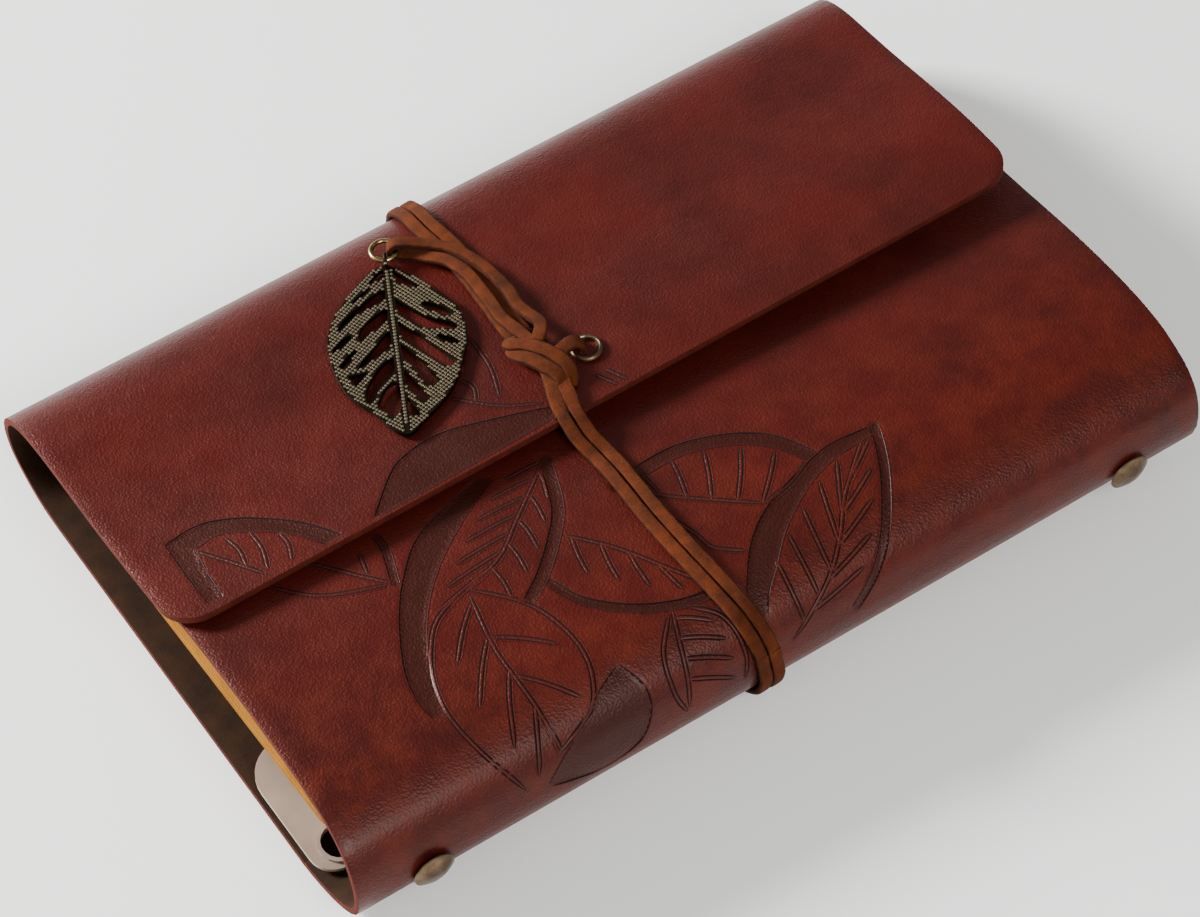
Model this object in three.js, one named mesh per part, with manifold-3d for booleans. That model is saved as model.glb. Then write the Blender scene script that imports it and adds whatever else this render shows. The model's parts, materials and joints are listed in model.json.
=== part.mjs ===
/**
 * A refillable scrapbook album, closed and tied: one wrap-round cover, a six-ring
 * mechanism riveted inside the spine, loose kraft leaves, a page lifter, and a
 * doubled suede lace that carries a leaf charm.
 *
 * Millimetres, +Z up. X runs along the spine, -Y is the spine, +Y the fore edge,
 * and the back cover lies on Z = 0.
 */
import * as THREE from 'three';
import { mergeVertices } from 'three/addons/utils/BufferGeometryUtils.js';
import Module from 'manifold-3d';

const wasm = await Module();
wasm.setup();

// ---------------------------------------------------------------- dimensions

const COVER_THICKNESS = 1.5;
const FLAP_CORNER_RADIUS = 7;
const FRONT_CORNER_RADIUS = 5;

// Each panel of the cover, as the middle and half of its length along X. The wrap
// runs slightly askew, so the middles differ.
const FRONT_EDGE = { middle: 1.1, half: 92.5 };
const BACK_EDGE = { middle: -0.2, half: 92.4 };
const FLAP_EDGE = { middle: -0.6, half: 93 };

// The outer face of the wrapped cover, from the front cover's free edge round the
// spine, underneath, and over the fore edge to the flap's front edge. Each station
// is [y, z] at the near end (-X) and [y, z] at the far end (+X).
const WRAP = [
  [44.6, 20.6, 44.6, 19.0],
  [39.0, 21.8, 39.0, 20.6],
  [31.0, 22.4, 31.0, 21.8],
  [19.0, 23.2, 19.0, 22.6],
  [7.0, 24.8, 7.0, 23.2],
  [-3.0, 26.6, -3.0, 24.6],
  [-11.0, 27.4, -11.0, 26.0],
  [-21.0, 27.8, -21.0, 27.6],
  [-31.0, 27.6, -31.0, 28.6],
  [-40.0, 27.1, -40.0, 28.9],
  [-47.0, 26.3, -47.0, 28.4],
  [-52.0, 25.0, -52.0, 27.1],
  [-56.0, 22.7, -56.3, 25.3],
  [-58.7, 19.4, -59.5, 22.3],
  [-60.5, 15.4, -61.2, 18.0],
  [-60.9, 12.0, -61.5, 13.4],
  [-60.1, 9.0, -60.1, 9.2],
  [-57.7, 6.0, -57.7, 6.0],
  [-53.5, 3.2, -53.5, 3.2],
  [-48.0, 1.1, -48.0, 1.1],
  [-42.0, 0.0, -42.0, 0.0],
  [0.0, 0.0, 0.0, 0.0],
  [46.0, 0.0, 46.0, 0.0],
  [52.4, 0.8, 52.4, 0.8],
  [57.1, 3.0, 57.1, 3.0],
  [60.7, 6.2, 60.7, 6.2],
  [62.4, 10.2, 62.4, 10.2],
  [62.5, 14.6, 62.5, 13.8],
  [61.0, 18.8, 61.4, 17.0],
  [57.9, 22.0, 58.1, 20.2],
  [53.0, 24.4, 53.0, 22.4],
  [46.0, 25.6, 46.0, 23.7],
  [37.0, 25.8, 37.0, 25.2],
  [25.0, 26.0, 25.0, 27.6],
  [13.0, 27.0, 13.0, 29.6],
  [3.0, 28.4, 3.0, 30.4],
  [-3.7, 29.3, -3.7, 30.6],
];

// Stations where one panel of the cover ends and the next begins.
const FRONT_TO_SPINE = 13.4;
const SPINE_TO_BACK = 18.2;
const BACK_TO_FLAP = 25.95;
const PANEL_GAP = 0.035; // in stations, about 0.3 mm at every joint
const LAST_STATION = WRAP.length - 1;

// The lace passes under the book in a shallow channel of the back cover.
const LACE_X = -5;
const CHANNEL_DEPTH = 1.8;
const CHANNEL_FLAT = 4.6; // half width of its full depth
const CHANNEL_FADE = 12; // how far it takes to fade out on either side

const LACE_WIDTH = 2.5;
const LACE_THICKNESS = 1.2;
const STRAND_OFFSET = 1.45; // each of the two strands from the lace's middle

// The ring mechanism stands on the spine: BASE is the middle of its back, and the
// mechanism leans by LEAN so that its rings point slightly upwards.
const BASE = { x: -0.6, y: -57.0, z: 12.9 };
const LEAN = THREE.MathUtils.degToRad(3);
const HOUSING = { length: 166, halfWidth: 4.8, height: 3.1, wall: 0.7, flatness: 4 };
const BLADE = { length: 142, inner: 0.3, outer: 3.4, back: 0.95, front: 1.6 };
const RING_RADIUS = 9;
const RING_WIRE = 2.2;
const RING_CENTRE = 3.0 + RING_RADIUS; // from the back of the mechanism
const RING_POSITIONS = [-63.5, -44.5, -25.5, 25.5, 44.5, 63.5];
const RING_SWING_CLEARANCE = 2.1; // what a hole leaves round a ring, for the rings' opening

const RIVET_POSITIONS = { near: -76.7, far: 76.7 };
const RIVET = { capRadius: 4.15, capHeight: 1.5, shank: 1.5, hole: 1.85 };

const PAGES = { middle: -0.7, length: 175 };
const LIFTER = { half: 92.2, y0: -48.4, y1: -18.9, z: 3.6, thickness: 0.8 };

const EYELET = { x: 1.2, y: 7.6, hole: 2.1, barrel: 2.45, flange: 3.3 };
const JUMP_RING = { x: -16.7, y: 49.6, z: 26.8, radius: 2.5, wire: 0.9 };
// The leaf's small loop hangs on the jump ring, and the leaf lies along LEAF_AXIS on the flap.
const BAIL = { radius: 1.2, wire: 0.8 };
const LEAF_AXIS = new THREE.Vector3(-0.448, -0.894, 0.0846).normalize();
const FLAP_NORMAL = new THREE.Vector3(0, 0.0946, 1).normalize();
const LEAF = { start: 0.6, widest: 20, tip: 42.5, halfWidth: 13.1, under: 1.75, thickness: 1.0 };

// ------------------------------------------------------------------- helpers

/** The solid's signed volume, from the triangles of an indexed geometry. */
function signedVolume(geometry) {
  const p = geometry.attributes.position;
  const index = geometry.index.array;
  const [a, b, c] = [new THREE.Vector3(), new THREE.Vector3(), new THREE.Vector3()];
  let sum = 0;
  for (let i = 0; i < index.length; i += 3) {
    a.fromBufferAttribute(p, index[i]);
    b.fromBufferAttribute(p, index[i + 1]);
    c.fromBufferAttribute(p, index[i + 2]);
    sum += a.dot(b.cross(c));
  }
  return sum / 6;
}

/** One closed body: shared vertices merged, faces pointing out. */
function closed(geometry) {
  const bare = geometry.clone();
  for (const name of Object.keys(bare.attributes)) {
    if (name !== 'position') bare.deleteAttribute(name);
  }
  bare.clearGroups();
  const merged = mergeVertices(bare, 1e-4);
  if (signedVolume(merged) < 0) {
    const index = merged.index.array;
    for (let i = 0; i < index.length; i += 3) {
      [index[i], index[i + 1]] = [index[i + 1], index[i]];
    }
  }
  merged.computeVertexNormals();
  return merged;
}

function toManifold(geometry) {
  const g = closed(geometry);
  return new wasm.Manifold(new wasm.Mesh({
    numProp: 3,
    vertProperties: new Float32Array(g.attributes.position.array),
    triVerts: new Uint32Array(g.index.array),
  }));
}

function fromManifold(solid) {
  const mesh = solid.getMesh();
  const g = new THREE.BufferGeometry();
  g.setAttribute('position', new THREE.BufferAttribute(new Float32Array(mesh.vertProperties), 3));
  g.setIndex(new THREE.BufferAttribute(new Uint32Array(mesh.triVerts), 1));
  g.computeVertexNormals();
  return g;
}

function cut(geometry, ...tools) {
  let solid = toManifold(geometry);
  for (const tool of tools) solid = solid.subtract(toManifold(tool));
  return fromManifold(solid);
}

function join(...parts) {
  return fromManifold(parts.map(toManifold).reduce((a, b) => a.add(b)));
}

function finish(color, roughness, metalness = 0) {
  return new THREE.MeshStandardMaterial({ color, roughness, metalness });
}

const LEATHER = finish(0x6e2d28, 0.45);
const KRAFT = finish(0xb8862f, 0.9);
const SUEDE = finish(0x8b4a1c, 0.95);
const STEEL = finish(0xb9b9b6, 0.3, 1);
const ANTIQUE_BRASS = finish(0x8a6a3a, 0.4, 1);
const BRONZE = finish(0x3a2e1c, 0.45, 1);
const PLASTIC = finish(0xc0b0a4, 0.4);

const album = new THREE.Group();

/** Adds one named mesh to the album, or to the group it is placed in. */
function add(name, geometry, material, parent = album) {
  const mesh = new THREE.Mesh(closed(geometry), material);
  mesh.name = name;
  parent.add(mesh);
  return mesh;
}

// ---------------------------------------------------------- the wrapped cover

const nearEnd = new THREE.CatmullRomCurve3(WRAP.map(([y, z]) => new THREE.Vector3(0, y, z)));
const farEnd = new THREE.CatmullRomCurve3(WRAP.map(([, , y, z]) => new THREE.Vector3(0, y, z)));

/** The outer face's (y, z) at a station, u being 0 at the near end and 1 at the far end. */
function section(station, u) {
  const t = THREE.MathUtils.clamp(station / LAST_STATION, 0, 1);
  const p = nearEnd.getPoint(t).lerp(farEnd.getPoint(t), u);
  p.z = Math.max(p.z, 0);
  return p;
}

/** How far the cover is pressed in at x to leave room for the lace, at height z. */
function channel(x, z) {
  const beyond = Math.max(0, Math.abs(x - LACE_X) - CHANNEL_FLAT) / CHANNEL_FADE;
  const across = 1 - THREE.MathUtils.smoothstep(beyond, 0, 1);
  return across * THREE.MathUtils.clamp(CHANNEL_DEPTH - z, 0, CHANNEL_DEPTH);
}

/** A point of the cover at x: depth is how far it lies in from the outer face. */
function coverPoint(station, x, depth, pressed = true) {
  const u = (x - BACK_EDGE.middle) / (2 * BACK_EDGE.half) + 0.5;
  const step = 0.02;
  const p = section(station, u);
  const along = section(station + step, u).sub(section(station - step, u)).normalize();
  const inward = depth + (pressed ? channel(x, p.z) : 0);
  return new THREE.Vector3(x, p.y - along.z * inward, p.z + along.y * inward);
}

/**
 * One panel of the cover between two stations. Its ends along X come from edgeAt,
 * and rounded gives the free end's corner radius and its station.
 */
function coverPanel({ from, to, steps, across, edgeAt, rounded, pressed }) {
  const box = new THREE.BoxGeometry(1, 1, 1, across.length - 1, steps, 1);
  const p = box.attributes.position;
  const tip = rounded ? section(rounded.station, 0.5) : null;
  for (let i = 0; i < p.count; i++) {
    const column = Math.round((p.getX(i) + 0.5) * (across.length - 1));
    let v = p.getY(i) + 0.5;
    if (rounded) v = rounded.station === to ? Math.sin((v * Math.PI) / 2) : 1 - Math.cos((v * Math.PI) / 2);
    const station = from + (to - from) * v;
    const edge = edgeAt(station);
    let half = edge.half;
    if (rounded) {
      const reach = rounded.radius - section(station, 0.5).distanceTo(tip);
      if (reach > 0) half -= rounded.radius - Math.sqrt(rounded.radius ** 2 - reach ** 2);
    }
    const x = edge.middle + half * across[column];
    const q = coverPoint(station, x, (0.5 - p.getZ(i)) * COVER_THICKNESS, pressed);
    p.setXYZ(i, q.x, q.y, q.z);
  }
  return box;
}

/** Edge of the cover at a station, eased from one panel's edge to the next one's. */
function easedEdge(a, b, start, end) {
  return (station) => {
    const k = THREE.MathUtils.smoothstep(station, start, end);
    return {
      middle: THREE.MathUtils.lerp(a.middle, b.middle, k),
      half: THREE.MathUtils.lerp(a.half, b.half, k),
    };
  };
}

const frontEdgeAt = easedEdge(FRONT_EDGE, BACK_EDGE, 8, 16);
const flapEdgeAt = easedEdge(BACK_EDGE, FLAP_EDGE, 23, 31);
const EVEN = [-1, -0.5, 0, 0.5, 1];
// Columns of the back cover, closer together across the lace's channel.
const CHANNEL_COLUMNS = [-1, -0.6, -0.32, -0.235, -0.2, -0.165, -0.135, -0.105, -0.08, -0.055,
  -0.03, 0, 0.028, 0.058, 0.09, 0.13, 0.25, 0.6, 1];

/** A straight pin through the cover's thickness at (x, y), to cut or fill a hole. */
function pin(radius, length, sides = 18) {
  return new THREE.CylinderGeometry(radius, radius, length, sides);
}

// ------------------------------------------------ the mechanism's own frame

// Local axes: X along the spine, Y away from the spine towards the leaves, Z up
// along the mechanism, with the origin in the middle of its back.
const mechanism = new THREE.Group();
mechanism.position.set(BASE.x, BASE.y, BASE.z);
mechanism.rotation.x = LEAN;
mechanism.updateMatrixWorld(true);
album.add(mechanism);

/** A geometry made in the mechanism's frame, moved to the album's frame. */
function inAlbum(geometry) {
  return geometry.clone().applyMatrix4(mechanism.matrixWorld);
}

/** A profile of [radius, y] points, turned about the mechanism's Y axis. */
function turned(profile, sides = 20) {
  return new THREE.LatheGeometry(profile.map(([r, y]) => new THREE.Vector2(r, y)), sides);
}

/** How far the outer face lies behind the mechanism's back, at a rivet's x. */
function skinBehind(x) {
  const here = new THREE.Vector3();
  const direction = new THREE.Vector3(0, -Math.cos(LEAN), -Math.sin(LEAN));
  let best = Infinity;
  for (let station = 14; station < 17; station += 0.01) {
    const p = coverPoint(station, x, 0, false);
    here.set(0, p.y - BASE.y, p.z - BASE.z);
    const along = here.dot(direction);
    const off = here.addScaledVector(direction, -along).length();
    if (off < 0.05) best = Math.min(best, along);
  }
  return best;
}

const rivetHoles = Object.values(RIVET_POSITIONS).map((x) => {
  const hole = pin(RIVET.hole, 12);
  hole.translate(x, -4, 0);
  return inAlbum(hole);
});

function buildCover() {
  add('front_cover', coverPanel({
    from: 0,
    to: FRONT_TO_SPINE - PANEL_GAP,
    steps: 26,
    across: EVEN,
    edgeAt: frontEdgeAt,
    rounded: { station: 0, radius: FRONT_CORNER_RADIUS },
    pressed: false,
  }), LEATHER);

  const spine = coverPanel({
    from: FRONT_TO_SPINE + PANEL_GAP,
    to: SPINE_TO_BACK - PANEL_GAP,
    steps: 14,
    across: EVEN,
    edgeAt: frontEdgeAt,
    pressed: false,
  });
  add('spine_cover', cut(spine, ...rivetHoles), LEATHER);

  add('back_cover', coverPanel({
    from: SPINE_TO_BACK + PANEL_GAP,
    to: BACK_TO_FLAP - PANEL_GAP,
    steps: 24,
    across: CHANNEL_COLUMNS,
    edgeAt: flapEdgeAt,
    pressed: true,
  }), LEATHER);

  const flap = coverPanel({
    from: BACK_TO_FLAP + PANEL_GAP,
    to: LAST_STATION,
    steps: 30,
    across: EVEN,
    edgeAt: flapEdgeAt,
    rounded: { station: LAST_STATION, radius: FLAP_CORNER_RADIUS },
    pressed: false,
  });
  const hole = pin(EYELET.barrel + 0.3, 10);
  hole.rotateX(Math.PI / 2);
  hole.translate(EYELET.x, EYELET.y, flapTop(EYELET.x, EYELET.y));
  add('flap', cut(flap, hole), LEATHER);
}

/** Height of the flap's outer face above (x, y). */
function flapTop(x, y) {
  let [low, high] = [30, LAST_STATION];
  for (let i = 0; i < 40; i++) {
    const mid = (low + high) / 2;
    if (coverPoint(mid, x, 0, false).y > y) low = mid;
    else high = mid;
  }
  return coverPoint(low, x, 0, false).z;
}

// ------------------------------------------------------- the ring mechanism

/** Half of an arch's outline, a superellipse of that half width and height. */
function arch(halfWidth, height, sides = 12) {
  const points = [];
  for (let i = 0; i <= sides; i++) {
    const a = (Math.PI * i) / sides;
    const power = 2 / HOUSING.flatness;
    const z = Math.sign(Math.cos(a)) * Math.abs(Math.cos(a)) ** power * halfWidth;
    points.push([Math.abs(Math.sin(a)) ** power * height, z]);
  }
  return points;
}

/** An outline of (y, z) points, extruded along X about its middle. */
function alongX(points, length) {
  const shape = new THREE.Shape(points.map(([y, z]) => new THREE.Vector2(y, z)));
  const g = new THREE.ExtrudeGeometry(shape, { depth: length, bevelEnabled: false });
  g.translate(0, 0, -length / 2);
  g.applyMatrix4(new THREE.Matrix4().makeBasis(
    new THREE.Vector3(0, 1, 0), new THREE.Vector3(0, 0, 1), new THREE.Vector3(1, 0, 0),
  ));
  return g;
}

function buildHousing() {
  const { length, halfWidth, height, wall } = HOUSING;
  const outline = [
    ...arch(halfWidth, height),
    ...arch(halfWidth - wall, height - wall).reverse(),
  ];
  const slots = [];
  for (const x of RING_POSITIONS) {
    for (const side of [-1, 1]) {
      const slot = new THREE.BoxGeometry(3.4, 4, 4.4);
      slot.translate(x, height, side * 3.2);
      slots.push(slot);
    }
  }
  for (const x of Object.values(RIVET_POSITIONS)) {
    const hole = pin(RIVET.hole, 3);
    hole.translate(x, height, 0);
    slots.push(hole);
  }
  add('ring_housing', cut(alongX(outline, length), ...slots), STEEL, mechanism);
}

function buildBlades() {
  for (const [name, side] of [['upper', 1], ['lower', -1]]) {
    const { length, inner, outer, back, front } = BLADE;
    const blade = new THREE.BoxGeometry(length, front - back, outer - inner);
    blade.translate(0, (back + front) / 2, (side * (inner + outer)) / 2);
    add(`${name}_blade`, blade, STEEL, mechanism);
  }
}

/** One half of a ring at x: side 1 is the upper half, -1 the lower. */
function halfRing(x, side) {
  const [first, last] = [1.6, 166].map(THREE.MathUtils.degToRad);
  const points = [];
  for (let i = 0; i <= 12; i++) {
    const a = side * (first + ((last - first) * i) / 12);
    points.push(new THREE.Vector3(
      x, RING_CENTRE + RING_RADIUS * Math.cos(a), RING_RADIUS * Math.sin(a),
    ));
  }
  const section2d = new THREE.Shape();
  section2d.absarc(0, 0, RING_WIRE / 2, 0, 2 * Math.PI);
  return new THREE.ExtrudeGeometry(section2d, {
    steps: 12,
    curveSegments: 5,
    bevelEnabled: false,
    extrudePath: new THREE.CatmullRomCurve3(points),
  });
}

function buildRings() {
  RING_POSITIONS.forEach((x, i) => {
    add(`upper_half_ring_${i + 1}`, halfRing(x, 1), STEEL, mechanism);
    add(`lower_half_ring_${i + 1}`, halfRing(x, -1), STEEL, mechanism);
  });
}

function buildRivets() {
  for (const [end, x] of Object.entries(RIVET_POSITIONS)) {
    const skin = skinBehind(x + BASE.x);
    const { capRadius, capHeight, shank } = RIVET;
    const seat = skin + 0.4;
    const rim = 0.35;
    const cap = [[0, -seat - capHeight]];
    for (let i = 1; i <= 6; i++) {
      const a = (Math.PI / 2) * (i / 6);
      cap.push([capRadius * Math.sin(a), -seat - rim - (capHeight - rim) * Math.cos(a)]);
    }
    cap.push([capRadius, -seat], [shank, -seat], [shank, HOUSING.height + 1.6], [0, HOUSING.height + 1.6]);
    const rivet = turned(cap);
    rivet.translate(x, 0, 0);
    add(`rivet_${end}`, rivet, ANTIQUE_BRASS, mechanism);

    const burrAt = HOUSING.height + 0.35;
    const burr = turned([[RIVET.hole, burrAt], [3, burrAt], [3, burrAt + 0.5], [2.5, burrAt + 0.8],
      [RIVET.hole, burrAt + 0.8], [RIVET.hole, burrAt]]);
    burr.translate(x, 0, 0);
    add(`rivet_burr_${end}`, burr, ANTIQUE_BRASS, mechanism);

    const inner = skin - COVER_THICKNESS - 1.1;
    const spacer = turned([[RIVET.hole, -inner], [2.7, -inner], [2.7, -0.4], [RIVET.hole, -0.4],
      [RIVET.hole, -inner]]);
    spacer.translate(x, 0, 0);
    add(`rivet_spacer_${end}`, spacer, STEEL, mechanism);
  }
}

// -------------------------------------------------------------- the contents

/** The holes that the rings need in a bundle of leaves, in the album's frame. */
function ringHoles() {
  return RING_POSITIONS.map((x) => {
    const torus = new THREE.TorusGeometry(RING_RADIUS, RING_WIRE / 2 + RING_SWING_CLEARANCE, 10, 22);
    torus.rotateY(Math.PI / 2);
    torus.translate(x, RING_CENTRE, 0);
    return inAlbum(torus);
  });
}

function buildPages() {
  // The bundles lie on the rings' front, so they slope down to the fore edge, and
  // their leaves step back round the rings.
  const bundles = {
    lower_pages: [[-42.8, 9.9], [52.8, 3.7], [53.0, 8.8], [-42.3, 15.2]],
    upper_pages: [[-42.4, 15.6], [53.0, 9.2], [50.4, 14.3], [-46.0, 20.8]],
  };
  for (const [name, outline] of Object.entries(bundles)) {
    const block = alongX(outline, PAGES.length);
    block.translate(PAGES.middle, 0, 0);
    add(name, cut(block, ...ringHoles()), KRAFT);
  }
}

/** A page lifter: a plastic strip with ring slots open at its spine edge. */
function buildLifter() {
  const { half, y0, y1, z, thickness } = LIFTER;
  const [spineCorner, pageCorner] = [5, 8];
  const endHole = { x: 85.8, y: -43.4, radius: 3.6, rim: 4.4, rimHeight: 0.5 };
  const slot = { half: 1.9, end: -39 };
  const s = new THREE.Shape();
  s.moveTo(-half + spineCorner, y0);
  for (const ring of RING_POSITIONS) {
    const x = ring + BASE.x;
    s.lineTo(x - slot.half, y0);
    s.lineTo(x - slot.half, slot.end - slot.half);
    s.absarc(x, slot.end - slot.half, slot.half, Math.PI, 0, true);
    s.lineTo(x + slot.half, y0);
  }
  s.lineTo(half - spineCorner, y0);
  s.absarc(half - spineCorner, y0 + spineCorner, spineCorner, -Math.PI / 2, 0, false);
  s.lineTo(half, y1 - pageCorner);
  s.absarc(half - pageCorner, y1 - pageCorner, pageCorner, 0, Math.PI / 2, false);
  s.lineTo(-half + pageCorner, y1);
  s.absarc(-half + pageCorner, y1 - pageCorner, pageCorner, Math.PI / 2, Math.PI, false);
  s.lineTo(-half, y0 + spineCorner);
  s.absarc(-half + spineCorner, y0 + spineCorner, spineCorner, Math.PI, 1.5 * Math.PI, false);
  const strip = new THREE.ExtrudeGeometry(s, { depth: thickness, bevelEnabled: false, curveSegments: 4 });
  strip.translate(0, 0, z);
  const rims = [];
  const holes = [];
  for (const side of [-1, 1]) {
    const rim = pin(endHole.rim, thickness + endHole.rimHeight);
    const hole = pin(endHole.radius, 6);
    for (const g of [rim, hole]) {
      g.rotateX(Math.PI / 2);
      g.translate(side * endHole.x, endHole.y, z + (thickness + endHole.rimHeight) / 2);
    }
    rims.push(rim);
    holes.push(hole);
  }
  add('page_lifter', cut(join(strip, ...rims), ...holes), PLASTIC);
}

// ------------------------------------------------- eyelet, lace and charm

function buildEyelet() {
  const { x, y, hole, barrel, flange } = EYELET;
  const top = 0.35;
  const under = -COVER_THICKNESS - 0.35;
  const slope = (flapTop(x, y + 1) - flapTop(x, y - 1)) / 2;
  const seat = new THREE.Group();
  seat.position.set(x, y, flapTop(x, y));
  seat.rotation.x = Math.PI / 2 + Math.atan(slope);
  album.add(seat);
  const tube = new THREE.LatheGeometry([
    [hole, under - 0.6], [barrel, under - 0.6], [barrel, top], [flange, top], [flange, top + 0.35],
    [(hole + flange) / 2 + 0.25, top + 0.8], [hole + 0.25, top + 0.6], [hole, top + 0.2],
    [hole, under - 0.6],
  ].map(([r, z]) => new THREE.Vector2(r, z)), 24);
  add('eyelet', tube, ANTIQUE_BRASS, seat);
  const washer = new THREE.LatheGeometry([
    [barrel + 0.3, under - 0.4], [flange, under - 0.4], [flange, under], [barrel + 0.3, under],
    [barrel + 0.3, under - 0.4],
  ].map(([r, z]) => new THREE.Vector2(r, z)), 24);
  add('eyelet_washer', washer, ANTIQUE_BRASS, seat);
}

// Centrelines of the lace's stretches, [x, y, z] each, midway between its strands.
const LACE_OVER_FRONT = [
  [-9.1, -4.5, 30.6], [-10.2, -8.5, 29.2], [-10.6, -13, 28.1], [-10.7, -19, 28.7], [-10.2, -30, 29.1],
  [-9.1, -40, 29.0], [-7.8, -50, 27.7], [-6.9, -55, 25.9], [-6.2, -58.7, 23.0], [-5.8, -60.6, 20.2],
];
const LACE_ROUND_BACK = [
  [-5.6, -61.1, 19.1], [-5.4, -62.2, 14.7], [-5.2, -62.2, 12.6], [-5.1, -61.1, 8.6], [-5, -58.5, 5.3],
  [-5, -54.6, 2.3], [-5, -50.5, 0.9], [-5, -44, 0.72], [-5, -20, 0.72], [-5, 10, 0.72], [-5, 40, 0.72],
  [-5, 49, 0.72], [-5, 54.2, 0.84], [-5, 56.8, 1.6], [-5, 59, 3.05], [-5, 61.6, 5.7], [-5.1, 63.2, 9.3],
];
const LACE_OVER_FLAP = [
  [-5.1, 63.4, 10.2], [-5.2, 63.6, 13.2], [-5.5, 62.5, 17.6], [-5.9, 60.5, 20.4], [-6.2, 56.1, 23.4],
  [-6.5, 50, 25.3], [-5.9, 43, 26.1], [-6.1, 33, 27.0], [-7.0, 23, 28.1], [-7.4, 14.8, 29.1],
];
// The tail leaves the knot above the other strands, goes through the jump ring and comes back.
const LACE_TAIL = [
  [-5.3, 14.8, 30.6], [-4.2, 21, 29.8], [-3.5, 28, 29.1], [-4.0, 36, 28.3], [-6.4, 42.4, 27.8],
  [-9.8, 46, 27.7], [-12.2, 47.4, 28.2], [-14.1, 48.6, 28.4], [-15.45, 49.2, 27.8], [-15.75, 49.3, 26.9],
  [-15.45, 49.1, 26.05], [-14.2, 48.3, 25.5], [-12.4, 46.4, 25.8], [-10.6, 43.6, 26.9], [-8.4, 40.0, 27.9],
  [-6.8, 35, 28.4], [-6.2, 28, 29.1], [-7.0, 21, 29.8], [-8.1, 14.8, 30.6],
];
const KNOT = { x: -7.4, y: 8.4, z: 31.2, radii: [3.9, 5.7, 2.1] };
const KNOT_TO_FRONT = [[-7.6, 6, 31.2], [-8.3, 1, 30.9], [-9.0, -3.9, 30.8]];
const KNOT_TO_EYELET = [[-5, 8.6, 31.5], [-2, 8.1, 31.4], [0.2, 7.7, 30.8], [1.1, 7.6, 29.6], [1.2, 7.6, 28.2]];

/** A catmull-rom curve through [x, y, z] points, moved by shift along X. */
function route(points, shift = 0) {
  return new THREE.CatmullRomCurve3(points.map(([x, y, z]) => new THREE.Vector3(x + shift, y, z)));
}

/** A flat strand along a route; its width starts along X. */
function strand(path, steps) {
  const { normals } = path.computeFrenetFrames(steps, false);
  const widthFirst = Math.abs(normals[0].x) > 0.7;
  const [a, b] = widthFirst ? [LACE_WIDTH / 2, LACE_THICKNESS / 2] : [LACE_THICKNESS / 2, LACE_WIDTH / 2];
  const chamfer = 0.3;
  const outline = [];
  for (const [sa, sb] of [[1, 1], [-1, 1], [-1, -1], [1, -1]]) {
    const corner = [
      new THREE.Vector2(sa * a, sb * (b - chamfer)),
      new THREE.Vector2(sa * (a - chamfer), sb * b),
    ];
    outline.push(...(sa * sb > 0 ? corner : corner.reverse()));
  }
  return new THREE.ExtrudeGeometry(new THREE.Shape(outline), { steps, bevelEnabled: false, extrudePath: path });
}

function buildLace() {
  const stretches = {
    lace_over_front: [LACE_OVER_FRONT, 24],
    lace_round_back: [LACE_ROUND_BACK, 38],
    lace_over_flap: [LACE_OVER_FLAP, 24],
  };
  for (const [name, [points, steps]] of Object.entries(stretches)) {
    add(`${name}_near`, strand(route(points, -STRAND_OFFSET), steps), SUEDE);
    add(`${name}_far`, strand(route(points, STRAND_OFFSET), steps), SUEDE);
  }
  add('lace_tail', strand(route(LACE_TAIL), 62), SUEDE);

  const knot = new THREE.SphereGeometry(1, 16, 10);
  knot.scale(...KNOT.radii);
  knot.translate(KNOT.x, KNOT.y, KNOT.z);
  const cord = new THREE.Shape();
  cord.absarc(0, 0, 0.95, 0, 2 * Math.PI);
  const toEyelet = new THREE.ExtrudeGeometry(cord, {
    steps: 8, curveSegments: 4, bevelEnabled: false, extrudePath: route(KNOT_TO_EYELET),
  });
  add('lace_knot', join(
    knot,
    strand(route(KNOT_TO_FRONT, -STRAND_OFFSET), 6),
    strand(route(KNOT_TO_FRONT, STRAND_OFFSET), 6),
    toEyelet,
  ), SUEDE);
}

/** A slender opening between two veins, from near the midrib to near the edge. */
function veinOpening(x0, y0, x1, y1) {
  const bow = 2;
  const [dx, dy] = [x1 - x0, y1 - y0];
  const length = Math.hypot(dx, dy);
  const [nx, ny] = [(-dy / length) * bow, (dx / length) * bow];
  const [mx, my] = [(x0 + x1) / 2, (y0 + y1) / 2];
  const hole = new THREE.Path();
  hole.moveTo(x0, y0);
  hole.quadraticCurveTo(mx - nx, my - ny, x1, y1);
  hole.quadraticCurveTo(mx + nx, my + ny, x0, y0);
  return hole;
}

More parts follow.
